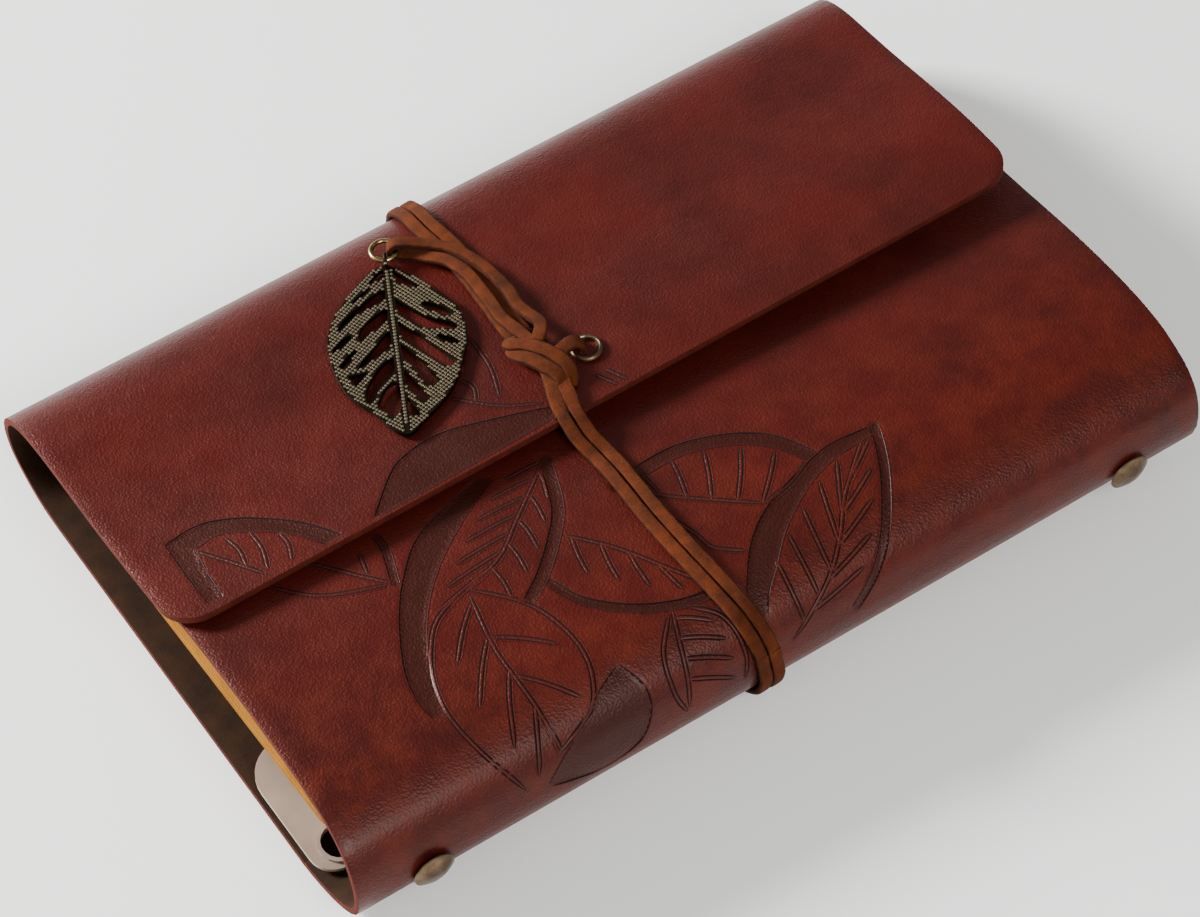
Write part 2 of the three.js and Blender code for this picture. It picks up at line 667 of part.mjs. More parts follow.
/** The pierced leaf with the small loop that hangs on the jump ring. */
function leafGeometry() {
  const { start, widest, tip, halfWidth, under, thickness } = LEAF;
  const s = new THREE.Shape();
  s.moveTo(-1.2, start);
  s.bezierCurveTo(-5, 3.5, -halfWidth, widest - 10, -halfWidth, widest);
  s.bezierCurveTo(-halfWidth, widest + 9, -6.5, tip - 5, 0, tip);
  s.bezierCurveTo(6.5, tip - 5, halfWidth, widest + 9, halfWidth, widest);
  s.bezierCurveTo(halfWidth, widest - 10, 5, 3.5, 1.2, start);
  const openings = [[9, 9.2, 12.5], [14, 10.6, 19.5], [19.5, 10.3, 26], [25, 8.6, 31.5], [30.5, 5.6, 35.8]];
  for (const [y0, x1, y1] of openings) {
    for (const side of [-1, 1]) {
      const opening = side > 0 ? veinOpening(1.5, y0, x1, y1) : veinOpening(-1.5, y0, -x1, y1);
      s.holes.push(opening);
    }
  }
  const plate = new THREE.ExtrudeGeometry(s, { depth: thickness, bevelEnabled: false, curveSegments: 7 });
  plate.translate(0, 0, -under);
  const bail = new THREE.TorusGeometry(BAIL.radius, BAIL.wire / 2, 8, 18);
  bail.rotateY(Math.PI / 2);
  return join(plate, bail);
}

function buildCharm() {
  const ring = new THREE.TorusGeometry(JUMP_RING.radius, JUMP_RING.wire / 2, 8, 24);
  const across = new THREE.Vector3().crossVectors(LEAF_AXIS, FLAP_NORMAL).normalize();
  const up = new THREE.Vector3().crossVectors(across, LEAF_AXIS);
  const place = new THREE.Matrix4().makeBasis(across, LEAF_AXIS, up);
  place.setPosition(JUMP_RING.x, JUMP_RING.y, JUMP_RING.z);
  add('jump_ring', ring.applyMatrix4(place), ANTIQUE_BRASS);

  const bail = new THREE.Vector3(0, JUMP_RING.radius, 0).applyMatrix4(place);
  place.setPosition(bail);
  add('leaf_charm', leafGeometry().applyMatrix4(place), BRONZE);
}

buildCover();
buildHousing();
buildBlades();
buildRings();
buildRivets();
buildPages();
buildLifter();
buildEyelet();
buildLace();
buildCharm();

export default album;
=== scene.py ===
"""A closed and tied scrapbook album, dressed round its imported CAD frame.

The cover is one sheet of embossed leather that wraps the book, with loose kraft
leaves on a ring mechanism inside, a suede lace tied round it and a leaf charm.
Sizes are in millimetres until they reach a mesh, which is in metres.
"""

import json
import logging
import math
import random
from dataclasses import dataclass, field
from enum import Enum

import bmesh
import bpy
import numpy as np
from mathutils import Matrix, Vector
from mathutils.bvhtree import BVHTree

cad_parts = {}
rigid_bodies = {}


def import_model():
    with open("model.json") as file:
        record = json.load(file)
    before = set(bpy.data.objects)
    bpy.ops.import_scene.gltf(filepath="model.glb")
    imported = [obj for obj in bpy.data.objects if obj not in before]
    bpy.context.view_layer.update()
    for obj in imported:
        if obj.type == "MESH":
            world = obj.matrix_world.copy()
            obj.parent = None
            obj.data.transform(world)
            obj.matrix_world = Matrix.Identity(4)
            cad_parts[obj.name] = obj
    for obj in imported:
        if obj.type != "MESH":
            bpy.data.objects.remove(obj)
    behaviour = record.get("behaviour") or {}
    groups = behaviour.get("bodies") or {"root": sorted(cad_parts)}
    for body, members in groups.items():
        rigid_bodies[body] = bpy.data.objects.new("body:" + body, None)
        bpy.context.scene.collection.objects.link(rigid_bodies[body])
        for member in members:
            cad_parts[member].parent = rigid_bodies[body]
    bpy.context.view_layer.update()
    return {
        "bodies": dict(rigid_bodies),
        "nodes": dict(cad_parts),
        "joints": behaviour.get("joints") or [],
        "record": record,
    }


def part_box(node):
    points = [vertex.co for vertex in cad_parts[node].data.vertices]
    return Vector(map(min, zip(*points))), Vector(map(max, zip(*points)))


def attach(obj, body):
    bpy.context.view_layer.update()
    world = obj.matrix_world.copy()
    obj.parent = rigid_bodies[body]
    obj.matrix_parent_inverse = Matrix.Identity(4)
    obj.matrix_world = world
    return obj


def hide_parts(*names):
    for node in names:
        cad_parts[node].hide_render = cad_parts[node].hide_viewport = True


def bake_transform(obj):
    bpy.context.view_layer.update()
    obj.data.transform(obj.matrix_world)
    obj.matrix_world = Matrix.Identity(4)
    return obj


MM = 0.001
SHARP = math.radians(42)  # corners above this stay crisp
MERGE = 1e-7  # metres
Pair = tuple[float, float]
Point = tuple[float, float, float]

log = logging.getLogger("album")


class Body(Enum):
    """The frame's rigid bodies."""

    BINDING = "binding"
    FLAP = "flap"
    FRONT = "front"
    UPPER_LEAVES = "upper_leaves"
    UPPER_RINGS = "upper_rings"
    LOWER_RINGS = "lower_rings"
    CHARM = "charm"


# ------------------------------------------------------------------ materials


def linear(code: str) -> tuple[float, float, float, float]:
    """Turns an sRGB hex colour into linear RGBA.

    Args:
        code: six hex digits, such as "6e2d28".

    Returns:
        The colour for a shader socket.
    """
    channels = [int(code[i : i + 2], 16) / 255 for i in (0, 2, 4)]
    return (*[c / 12.92 if c <= 0.04045 else ((c + 0.055) / 1.055) ** 2.4 for c in channels], 1.0)


def add_node(
    tree: bpy.types.NodeTree,
    kind: str,
    inputs: dict | None = None,
    stops: list[tuple[float, str]] | None = None,
    **settings,
) -> bpy.types.Node:
    """Adds one shader node with its settings, socket values and links.

    Args:
        tree: the material's node tree.
        kind: the node's bl_idname without its "ShaderNode" part.
        inputs: socket name or index to a value, or to another node's output.
        stops: for a colour ramp, the position and hex colour of each stop.
        **settings: properties of the node itself.

    Returns:
        The new node.
    """
    made = tree.nodes.new("ShaderNode" + kind)
    for name, value in settings.items():
        setattr(made, name, value)
    for name, value in (inputs or {}).items():
        if isinstance(value, bpy.types.NodeSocket):
            tree.links.new(value, made.inputs[name])
        else:
            made.inputs[name].default_value = value
    for k, (position, code) in enumerate(stops or []):
        point = made.color_ramp.elements[k]
        point.position = position
        point.color = linear(code)
    return made


def blank(name: str) -> tuple[bpy.types.Material, bpy.types.NodeTree]:
    """Makes an empty node material and returns it with its tree."""
    material = bpy.data.materials.new(name)
    material.use_nodes = True
    material.node_tree.nodes.clear()
    return material, material.node_tree


def eased(t: np.ndarray) -> np.ndarray:
    """A step from 0 to 1 that starts and ends gently."""
    return t * t * (3 - 2 * t)


def per_metre(size_mm: float) -> float:
    """Texture scale whose features are about that size in millimetres."""
    return 1 / (size_mm * MM)


@dataclass(frozen=True)
class CoverLeather:
    """Coated split leather, printed with a fine pebble grain, burnished where pressed.

    The coating gives a satin gloss that breaks up on the grain. The pressed design
    is darker and smoother, and its grooves are painted near black as shade.
    """

    tone: str = "3e0d09"
    deep: str = "300907"
    # lighter orange-brown towards the spine: partly wear, partly painted light on the spine's bend
    worn_and_lit: str = "501506"
    burnt: str = "280a06"
    # painted shade at the bottom of each groove
    groove: str = "0a0202"
    grain_mm: float = 0.42
    roughness: float = 0.41

    def build(self) -> bpy.types.Material:
        """Makes the material, which reads the attributes burnish and groove."""
        material, tree = blank("coated_leather")
        where = add_node(tree, "TexCoord").outputs["Object"]
        cloud = add_node(tree, "TexNoise", {"Vector": where, "Scale": per_metre(26), "Detail": 6.0, "Roughness": 0.62})
        body = add_node(
            tree, "ValToRGB", {"Fac": cloud.outputs["Fac"]}, stops=[(0.34, self.deep), (0.62, self.tone)]
        ).outputs["Color"]
        rub = add_node(tree, "TexNoise", {"Vector": where, "Scale": per_metre(9), "Detail": 8.0, "Roughness": 0.7})
        place = add_node(tree, "SeparateXYZ", {"Vector": where})
        # Towards the spine the leather turns lighter orange-brown: partly wear, partly painted light on the bend.
        toward_spine = add_node(
            tree, "MapRange", {"Value": place.outputs["Y"], 1: -0.012, 2: -0.052, 3: 0.12, 4: 0.8}, clamp=True
        )
        patches = add_node(tree, "MapRange", {"Value": rub.outputs["Fac"], 1: 0.42, 2: 0.66, 3: 0.0, 4: 1.0})
        worn_and_lit = add_node(tree, "Math", {0: toward_spine.outputs[0], 1: patches.outputs[0]}, operation="MULTIPLY")
        warm = add_node(
            tree, "Mix", {0: worn_and_lit.outputs[0], 6: body, 7: linear(self.worn_and_lit)}, data_type="RGBA"
        )
        burnish = add_node(tree, "Attribute", attribute_name="burnish").outputs["Fac"]
        pressed = add_node(
            tree, "Mix", {0: burnish, 6: warm.outputs[2], 7: linear(self.burnt)}, data_type="RGBA"
        )
        # The groove attribute paints near-black shade at the bottom of each groove.
        groove = add_node(tree, "Attribute", attribute_name="groove").outputs["Fac"]
        cut = add_node(
            tree, "Mix", {0: groove, 6: pressed.outputs[2], 7: linear(self.groove)}, data_type="RGBA"
        )
        pebble = add_node(
            tree, "TexVoronoi", {"Vector": where, "Scale": per_metre(self.grain_mm)}, feature="SMOOTH_F1"
        )
        crease = add_node(
            tree, "TexNoise", {"Vector": where, "Scale": per_metre(1.6), "Detail": 7.0, "Roughness": 0.75}
        )
        relief = add_node(
            tree, "Math", {0: crease.outputs["Fac"], 1: 0.8, 2: pebble.outputs["Distance"]}, operation="MULTIPLY_ADD"
        )
        bump = add_node(tree, "Bump", {"Height": relief.outputs[0], "Strength": 0.5, "Distance": 0.00022})
        low, high = self.roughness - 0.05, self.roughness + 0.1
        shine = add_node(tree, "MapRange", {"Value": rub.outputs["Fac"], 1: 0.3, 2: 0.7, 3: low, 4: high})
        dull = add_node(tree, "Mix", {0: groove, 2: shine.outputs[0], 3: 0.8}, data_type="FLOAT")
        shader = add_node(
            tree,
            "BsdfPrincipled",
            {
                "Base Color": cut.outputs[2],
                "Roughness": dull.outputs[0],
                "Normal": bump.outputs[0],
                "IOR": 1.42,
                "Specular Tint": linear("e8b4a8"),
                "Coat Weight": 0.08,
                "Coat Roughness": 0.25,
            },
        )
        add_node(tree, "OutputMaterial", {"Surface": shader.outputs[0]})
        return material


@dataclass(frozen=True)
class FibreFinish:
    """A napped or fibrous surface: suede, raw leather edge or kraft paper.

    Loose fibres scatter the light, so there is no gloss, and the nap shows as a
    soft mottling with a faint sheen.
    """

    name: str
    light: str
    dark: str
    fibre_mm: float
    relief_mm: float = 0.15
    sheen: float = 0.0
    # colour of the painted shade along a strand's sides
    edge: str | None = None
    stretch: Point = (1, 1, 1)

    def build(self) -> bpy.types.Material:
        """Makes the material, darker where the attribute edge says so, as painted shade."""
        material, tree = blank(self.name)
        where = add_node(tree, "TexCoord").outputs["Object"]
        along = add_node(tree, "Mapping", {"Vector": where, "Scale": self.stretch}).outputs[0]
        nap = add_node(
            tree, "TexNoise", {"Vector": along, "Scale": per_metre(self.fibre_mm), "Detail": 5.0, "Roughness": 0.7}
        )
        cloud = add_node(tree, "TexNoise", {"Vector": where, "Scale": per_metre(self.fibre_mm * 12), "Detail": 3.0})
        blend = add_node(tree, "Math", {0: nap.outputs["Fac"], 1: cloud.outputs["Fac"]}, operation="ADD")
        half = add_node(tree, "Math", {0: blend.outputs[0], 1: 0.5}, operation="MULTIPLY")
        colour = add_node(
            tree, "ValToRGB", {"Fac": half.outputs[0]}, stops=[(0.36, self.dark), (0.62, self.light)]
        ).outputs["Color"]
        if self.edge:
            edge = add_node(tree, "Attribute", attribute_name="edge").outputs["Fac"]
            colour = add_node(
                tree, "Mix", {0: edge, 6: colour, 7: linear(self.edge)}, data_type="RGBA"
            ).outputs[2]
        bump = add_node(
            tree, "Bump", {"Height": nap.outputs["Fac"], "Strength": 0.6, "Distance": self.relief_mm * MM}
        )
        shader = add_node(
            tree,
            "BsdfPrincipled",
            {
                "Base Color": colour,
                "Roughness": 0.92,
                "Specular IOR Level": 0.15,
                "Normal": bump.outputs[0],
                "Sheen Weight": self.sheen,
                "Sheen Roughness": 0.5,
            },
        )
        add_node(tree, "OutputMaterial", {"Surface": shader.outputs[0]})
        return material


@dataclass(frozen=True)
class MetalFinish:
    """A plated or antiqued metal: bright where rubbed, dark in the recesses."""

    name: str
    bright: str
    dark: str
    roughness: float
    patina_mm: float = 1.2
    dark_share: float = 0.5

    def build(self) -> bpy.types.Material:
        """Makes the material."""
        material, tree = blank(self.name)
        where = add_node(tree, "TexCoord").outputs["Object"]
        patina = add_node(
            tree, "TexNoise", {"Vector": where, "Scale": per_metre(self.patina_mm), "Detail": 6.0, "Roughness": 0.65}
        )
        middle = self.dark_share
        colour = add_node(
            tree, "ValToRGB", {"Fac": patina.outputs["Fac"]},
            stops=[(middle - 0.14, self.dark), (middle + 0.14, self.bright)]
        ).outputs["Color"]
        scratch = add_node(tree, "TexNoise", {"Vector": where, "Scale": per_metre(0.3), "Detail": 3.0})
        bump = add_node(tree, "Bump", {"Height": scratch.outputs["Fac"], "Strength": 0.12, "Distance": 0.00005})
        shine = add_node(
            tree,
            "MapRange",
            {"Value": patina.outputs["Fac"], 1: 0.3, 2: 0.7, 3: self.roughness + 0.15, 4: self.roughness - 0.05},
        )
        shader = add_node(
            tree,
            "BsdfPrincipled",
            {"Base Color": colour, "Metallic": 1.0, "Roughness": shine.outputs[0], "Normal": bump.outputs[0]},
        )
        add_node(tree, "OutputMaterial", {"Surface": shader.outputs[0]})
        return material


@dataclass(frozen=True)
class MouldedPlastic:
    """Moulded polypropylene: slightly translucent, with a soft moulded sheen."""

    light: str = "9c8878"
    dark: str = "827062"

    def build(self) -> bpy.types.Material:
        """Makes the material."""
        material, tree = blank("moulded_polypropylene")
        where = add_node(tree, "TexCoord").outputs["Object"]
        cloud = add_node(tree, "TexNoise", {"Vector": where, "Scale": per_metre(14), "Detail": 3.0})
        colour = add_node(
            tree, "ValToRGB", {"Fac": cloud.outputs["Fac"]}, stops=[(0.35, self.dark), (0.65, self.light)]
        ).outputs["Color"]
        grit = add_node(tree, "TexNoise", {"Vector": where, "Scale": per_metre(0.25)})
        bump = add_node(tree, "Bump", {"Height": grit.outputs["Fac"], "Strength": 0.1, "Distance": 0.00004})
        shader = add_node(
            tree,
            "BsdfPrincipled",
            {
                "Base Color": colour,
                "Roughness": 0.38,
                "IOR": 1.49,
                "Subsurface Weight": 0.15,
                "Subsurface Scale": 0.001,
                "Normal": bump.outputs[0],
            },
        )
        add_node(tree, "OutputMaterial", {"Surface": shader.outputs[0]})
        return material


def make_finishes() -> dict[str, bpy.types.Material]:
    """Makes every finish of the album once.

    Returns:
        Finish name to material.
    """
    return {
        "leather": CoverLeather().build(),
        # A cut edge shows the undyed fibres under the coating.
        "raw_edge": FibreFinish("raw_leather_edge", "521c0e", "38100a", 0.3).build(),
        "inside": FibreFinish("leather_flesh_side", "2e1a0a", "1c0f06", 0.35).build(),
        # The suede's sides take painted shade, which also draws a dark line where two strands lie side by side.
        "suede": FibreFinish(
            "suede_lace", "58260a", "321404", 0.26, relief_mm=0.4, edge="1a0802"
        ).build(),
        "kraft": FibreFinish("kraft_paper", "9c6a22", "885816", 0.5, relief_mm=0.03, stretch=(1, 1, 6)).build(),
        "brass": MetalFinish("antique_brass", "a8905f", "3c2e18", 0.26, dark_share=0.45).build(),
        "rivet": MetalFinish("tumbled_brass", "74604a", "4c3a2a", 0.34, patina_mm=3).build(),
        # Painted shade: the near-black bottoms of the pressed grooves.
        "groove": FibreFinish("pressed_groove_shade", "1c0605", "0e0302", 0.4, relief_mm=0.05).build(),
        "bronze": MetalFinish("blackened_bronze", "2c2317", "14100b", 0.5).build(),
        "bead": MetalFinish("rubbed_bronze", "b4a68c", "4a3f2e", 0.28, patina_mm=0.9, dark_share=0.42).build(),
        "nickel": MetalFinish("nickel_plate", "cfccc6", "b4b1ab", 0.18, patina_mm=6).build(),
        "plastic": MouldedPlastic().build(),
    }


# ------------------------------------------------------------------ mesh work


def new_piece(name: str, shape: bmesh.types.BMesh, *materials: bpy.types.Material) -> bpy.types.Object:
    """Turns a finished bmesh into an object at the origin.

    Args:
        name: the piece's name.
        shape: its mesh in metres, which is freed.
        *materials: its material slots in order.

    Returns:
        The new object, shaded smooth with sharp corners kept.
    """
    mesh = bpy.data.meshes.new(name)
    shape.to_mesh(mesh)
    shape.free()
    for material in materials:
        mesh.materials.append(material)
    mesh.shade_smooth()
    mesh.set_sharp_from_angle(angle=SHARP)
    piece = bpy.data.objects.new(name, mesh)
    bpy.context.scene.collection.objects.link(piece)
    return piece


def settle(piece: bpy.types.Object) -> bpy.types.Object:
    """Applies a piece's modifiers to its mesh and returns the piece."""
    graph = bpy.context.evaluated_depsgraph_get()
    mesh = bpy.data.meshes.new_from_object(piece.evaluated_get(graph), preserve_all_data_layers=True, depsgraph=graph)
    piece.modifiers.clear()
    piece.data = mesh
    mesh.set_sharp_from_angle(angle=SHARP)
    return piece


def spline(points: list, count: int) -> np.ndarray:
    """Samples a smooth curve through points.

    Args:
        points: two or more points of two or three numbers.
        count: how many samples, evenly spaced along the curve.

    Returns:
        An array of count points.
    """
    p = np.array(points, float)
    padded = np.vstack([2 * p[0] - p[1], p, 2 * p[-1] - p[-2]])
    dense = []
    for i in range(1, len(padded) - 2):
        a, b, c, d = padded[i - 1 : i + 3]
        t = np.linspace(0, 1, 24, endpoint=False)[:, None]
        dense.append(0.5 * (2 * b + (c - a) * t + (2 * a - 5 * b + 4 * c - d) * t**2 + (3 * b - a - 3 * c + d) * t**3))
    dense = np.vstack([*dense, p[-1:]])
    steps = np.r_[0, np.cumsum(np.linalg.norm(np.diff(dense, axis=0), axis=1))]
    even = np.linspace(0, steps[-1], count)
    return np.column_stack([np.interp(even, steps, dense[:, k]) for k in range(p.shape[1])])


def length_of(points: np.ndarray) -> float:
    """Length of a polyline, in the points' own units."""
    return float(np.linalg.norm(np.diff(points, axis=0), axis=1).sum())


def grid_sheet(rows: np.ndarray) -> bmesh.types.BMesh:
    """Makes a sheet of quads whose vertices are moved to given places.

    Args:
        rows: array of shape (rows, columns, 3), in metres.

    Returns:
        The sheet as a bmesh.
    """
    count_v, count_u = rows.shape[:2]
    shape = bmesh.new()
    bmesh.ops.create_grid(shape, x_segments=count_u - 1, y_segments=count_v - 1, size=1)
    for vertex in shape.verts:
        u = round((vertex.co.x + 1) / 2 * (count_u - 1))
        v = round((vertex.co.y + 1) / 2 * (count_v - 1))
        vertex.co = rows[v, u]
    return shape


def lofted(rings: np.ndarray) -> bmesh.types.BMesh:
    """Makes a closed tube through rings of points, with its ends filled.

    Args:
        rings: array of shape (rings, points, 3), in metres; the points go round once.

    Returns:
        The tube as a bmesh, with its normals outward.
    """
    shape = grid_sheet(np.concatenate([rings, rings[:, :1]], axis=1))
    bmesh.ops.remove_doubles(shape, verts=shape.verts, dist=MERGE)
    ends = [e for e in shape.edges if e.is_boundary]
    bmesh.ops.holes_fill(shape, edges=ends, sides=0)
    bmesh.ops.recalc_face_normals(shape, faces=shape.faces)
    return shape


def add_to(target: bmesh.types.BMesh, part: bmesh.types.BMesh) -> None:
    """Copies one bmesh into another and frees it."""
    mesh = bpy.data.meshes.new("part")
    part.to_mesh(mesh)
    part.free()
    target.from_mesh(mesh)
    bpy.data.meshes.remove(mesh)


def full_turn(shape: bmesh.types.BMesh, geom: list, axis: Point, steps: int) -> None:
    """Spins an outline once round an axis through the origin."""
    bmesh.ops.spin(
        shape,
        geom=geom,
        cent=(0, 0, 0),
        axis=axis,
        dvec=(0, 0, 0),
        angle=2 * math.pi,
        steps=steps,
        use_merge=True,
        use_duplicate=False,
    )


def turned(profile: list[Pair], steps: int = 48) -> bmesh.types.BMesh:
    """Turns a profile about the Z axis.

    Args:
        profile: (radius, height) points in millimetres.
        steps: how many steps make the full turn.

    Returns:
        The solid or tube as a bmesh.
    """
    shape = bmesh.new()
    verts = [shape.verts.new((r * MM, 0, z * MM)) for r, z in profile]
    edges = [shape.edges.new(pair) for pair in zip(verts, verts[1:])]
    if profile[0] == profile[-1]:
        bmesh.ops.remove_doubles(shape, verts=shape.verts, dist=MERGE)
        edges = list(shape.edges)
    full_turn(shape, [*shape.verts, *edges], (0, 0, 1), steps)
    bmesh.ops.remove_doubles(shape, verts=shape.verts, dist=MERGE)
    bmesh.ops.recalc_face_normals(shape, faces=shape.faces)
    return shape


def cut_sheet(loops: list[list[Pair]], thickness: float) -> bpy.types.Mesh:
    """Cuts a flat sheet out of the first loop, with the others as holes.

    Args:
        loops: closed outlines in millimetres.
        thickness: of the sheet, which is centred on z = 0.

    Returns:
        The sheet's mesh, in metres.
    """
    curve = bpy.data.curves.new("outline", "CURVE")
    curve.dimensions = "2D"
    curve.fill_mode = "BOTH"
    curve.extrude = thickness / 2 * MM
    for loop in loops:
        line = curve.splines.new("POLY")
        line.use_cyclic_u = True
        line.points.add(len(loop) - 1)
        for point, (x, y) in zip(line.points, loop):
            point.co = (x * MM, y * MM, 0, 1)
    holder = bpy.data.objects.new("outline", curve)
    mesh = bpy.data.meshes.new_from_object(holder)
    bpy.data.objects.remove(holder)
    bpy.data.curves.remove(curve)
    return mesh


def paint(piece: bpy.types.Object, name: str, values: np.ndarray) -> None:
    """Writes one number per vertex as a named attribute."""
    attribute = piece.data.attributes.new(name, "FLOAT", "POINT")
    attribute.data.foreach_set("value", np.asarray(values, np.float32).ravel())


# ------------------------------------------------------------ the wrapped cover


@dataclass
class Wrap:
    """The outer face of the cover, as sections at the near and far ends.

    Stations run from the front cover's free edge round the spine, underneath and
    over the fore edge to the flap's free edge. Each is (y, z) at the near end, then
    (y, z) at the far end.
    """

    stations: list[tuple[float, float, float, float]] = field(
        default_factory=lambda: [
            (44.6, 20.6, 44.6, 19.0),
            (39.0, 21.8, 39.0, 20.6),
            (31.0, 22.4, 31.0, 21.8),
            (19.0, 23.2, 19.0, 22.6),
            (7.0, 24.8, 7.0, 23.2),
            (-3.0, 26.6, -3.0, 24.6),
            (-11.0, 27.4, -11.0, 26.0),
            (-21.0, 27.8, -21.0, 27.6),
            (-31.0, 27.6, -31.0, 28.6),
            (-40.0, 27.1, -40.0, 28.9),
            (-47.0, 26.3, -47.0, 28.4),
            (-52.0, 25.0, -52.0, 27.1),
            (-56.0, 22.7, -56.3, 25.3),
            (-58.7, 19.4, -59.5, 22.3),
            (-60.5, 15.4, -61.2, 18.0),
            (-60.9, 12.0, -61.5, 13.4),
            (-60.1, 9.0, -60.1, 9.2),
            (-57.7, 6.0, -57.7, 6.0),
            (-53.5, 3.2, -53.5, 3.2),
            (-48.0, 1.1, -48.0, 1.1),
            (-42.0, 0.0, -42.0, 0.0),
            (0.0, 0.0, 0.0, 0.0),
            (46.0, 0.0, 46.0, 0.0),
            (52.4, 0.8, 52.4, 0.8),
            (57.1, 3.0, 57.1, 3.0),
            (60.7, 6.2, 60.7, 6.2),
            (62.4, 10.2, 62.4, 10.2),
            (62.5, 14.6, 62.5, 13.8),
            (61.0, 18.8, 61.4, 17.0),
            (57.9, 22.0, 58.1, 20.2),
            (53.0, 24.4, 53.0, 22.4),
            (46.0, 25.6, 46.0, 23.7),
            (37.0, 25.8, 37.0, 25.2),
            (25.0, 26.0, 25.0, 27.6),
            (13.0, 27.0, 13.0, 29.6),
            (3.0, 28.4, 3.0, 30.4),
            (-3.7, 29.3, -3.7, 30.6),
        ]
    )
    front_edge: Pair = (1.1, 92.5)
    back_edge: Pair = (-0.2, 92.4)
    flap_edge: Pair = (-0.6, 93.0)
    lace_x: float = -5.0
    channel_depth: float = 1.8
    channel_flat: float = 4.6
    channel_fade: float = 12.0

    def __post_init__(self) -> None:
        """Samples both end sections finely."""
        self.last = len(self.stations) - 1
        self.s = np.linspace(0, self.last, self.last * 60 + 1)
        table = np.array(self.stations)
        self.near = self._section(table[:, :2])
        self.far = self._section(table[:, 2:])
        middle = (self.near + self.far) / 2
        self.run = np.r_[0, np.cumsum(np.linalg.norm(np.diff(middle, axis=0), axis=1))]

    def _section(self, p: np.ndarray) -> np.ndarray:
        """Samples a centripetal curve through one end's points."""
        found = []
        for s in self.s:
            i = min(int(s), self.last - 1)
            t = s - i
            p1, p2 = p[i], p[i + 1]
            p0 = p[i - 1] if i > 0 else 2 * p1 - p2
            p3 = p[i + 2] if i + 2 <= self.last else 2 * p2 - p1
            d0, d1, d2 = (max(float(np.sum((b - a) ** 2)) ** 0.25, 1e-4) for a, b in ((p0, p1), (p1, p2), (p2, p3)))
            m1 = ((p1 - p0) / d0 - (p2 - p0) / (d0 + d1) + (p2 - p1) / d1) * d1
            m2 = ((p2 - p1) / d1 - (p3 - p1) / (d1 + d2) + (p3 - p2) / d2) * d1
            a, b = 2 * p1 - 2 * p2 + m1 + m2, -3 * p1 + 3 * p2 - 2 * m1 - m2
            found.append(p1 + m1 * t + b * t**2 + a * t**3)
        points = np.array(found)
        points[:, 1] = np.maximum(points[:, 1], 0)
        return points

    def run_at(self, station: float) -> float:
        """Distance along the cover from the front cover's free edge, at a station."""
        return float(np.interp(station, self.s, self.run))

    def edge(self, run: np.ndarray) -> tuple[np.ndarray, np.ndarray]:
        """Middle and half length of the cover along X at each run."""
        station = np.interp(run, self.run, self.s)

        def ease(low: float, high: float) -> np.ndarray:
            t = np.clip((station - low) / (high - low), 0, 1)
            return eased(t)

        front, flap = ease(8, 16), ease(23, 31)
        parts = [
            self.front_edge[k] + (self.back_edge[k] - self.front_edge[k]) * front
            + (self.flap_edge[k] - self.back_edge[k]) * flap
            for k in (0, 1)
        ]
        return parts[0], parts[1]

    def place(self, x: np.ndarray, run: np.ndarray, off: np.ndarray | float = 0.0) -> np.ndarray:
        """Points of the cover's outer face.

        Args:
            x: places along the spine, in millimetres.
            run: distances along the cover, of the same shape.
            off: how far each point stands off the face, outward.

        Returns:
            The points in metres, with a last axis of three.
        """
        u = np.clip((x - self.back_edge[0]) / (2 * self.back_edge[1]) + 0.5, 0, 1)

        def section(at: np.ndarray) -> tuple[np.ndarray, np.ndarray]:
            pair = [
                np.interp(at, self.run, self.near[:, k]) * (1 - u) + np.interp(at, self.run, self.far[:, k]) * u
                for k in (0, 1)
            ]
            return pair[0], pair[1]

        y, z = section(run)
        (y0, z0), (y1, z1) = section(run - 0.4), section(run + 0.4)
        size = np.hypot(y1 - y0, z1 - z0)
        ty, tz = (y1 - y0) / size, (z1 - z0) / size
        beyond = np.clip((np.abs(x - self.lace_x) - self.channel_flat) / self.channel_fade, 0, 1)
        across = 1 - eased(beyond)
        under = (run > self.run_at(18.2)) & (run < self.run_at(26))
        press = np.where(under, across * np.clip(self.channel_depth - z, 0, self.channel_depth), 0)
        out = off - press
        return np.stack([x, y + tz * out, z - ty * out], axis=-1) * MM


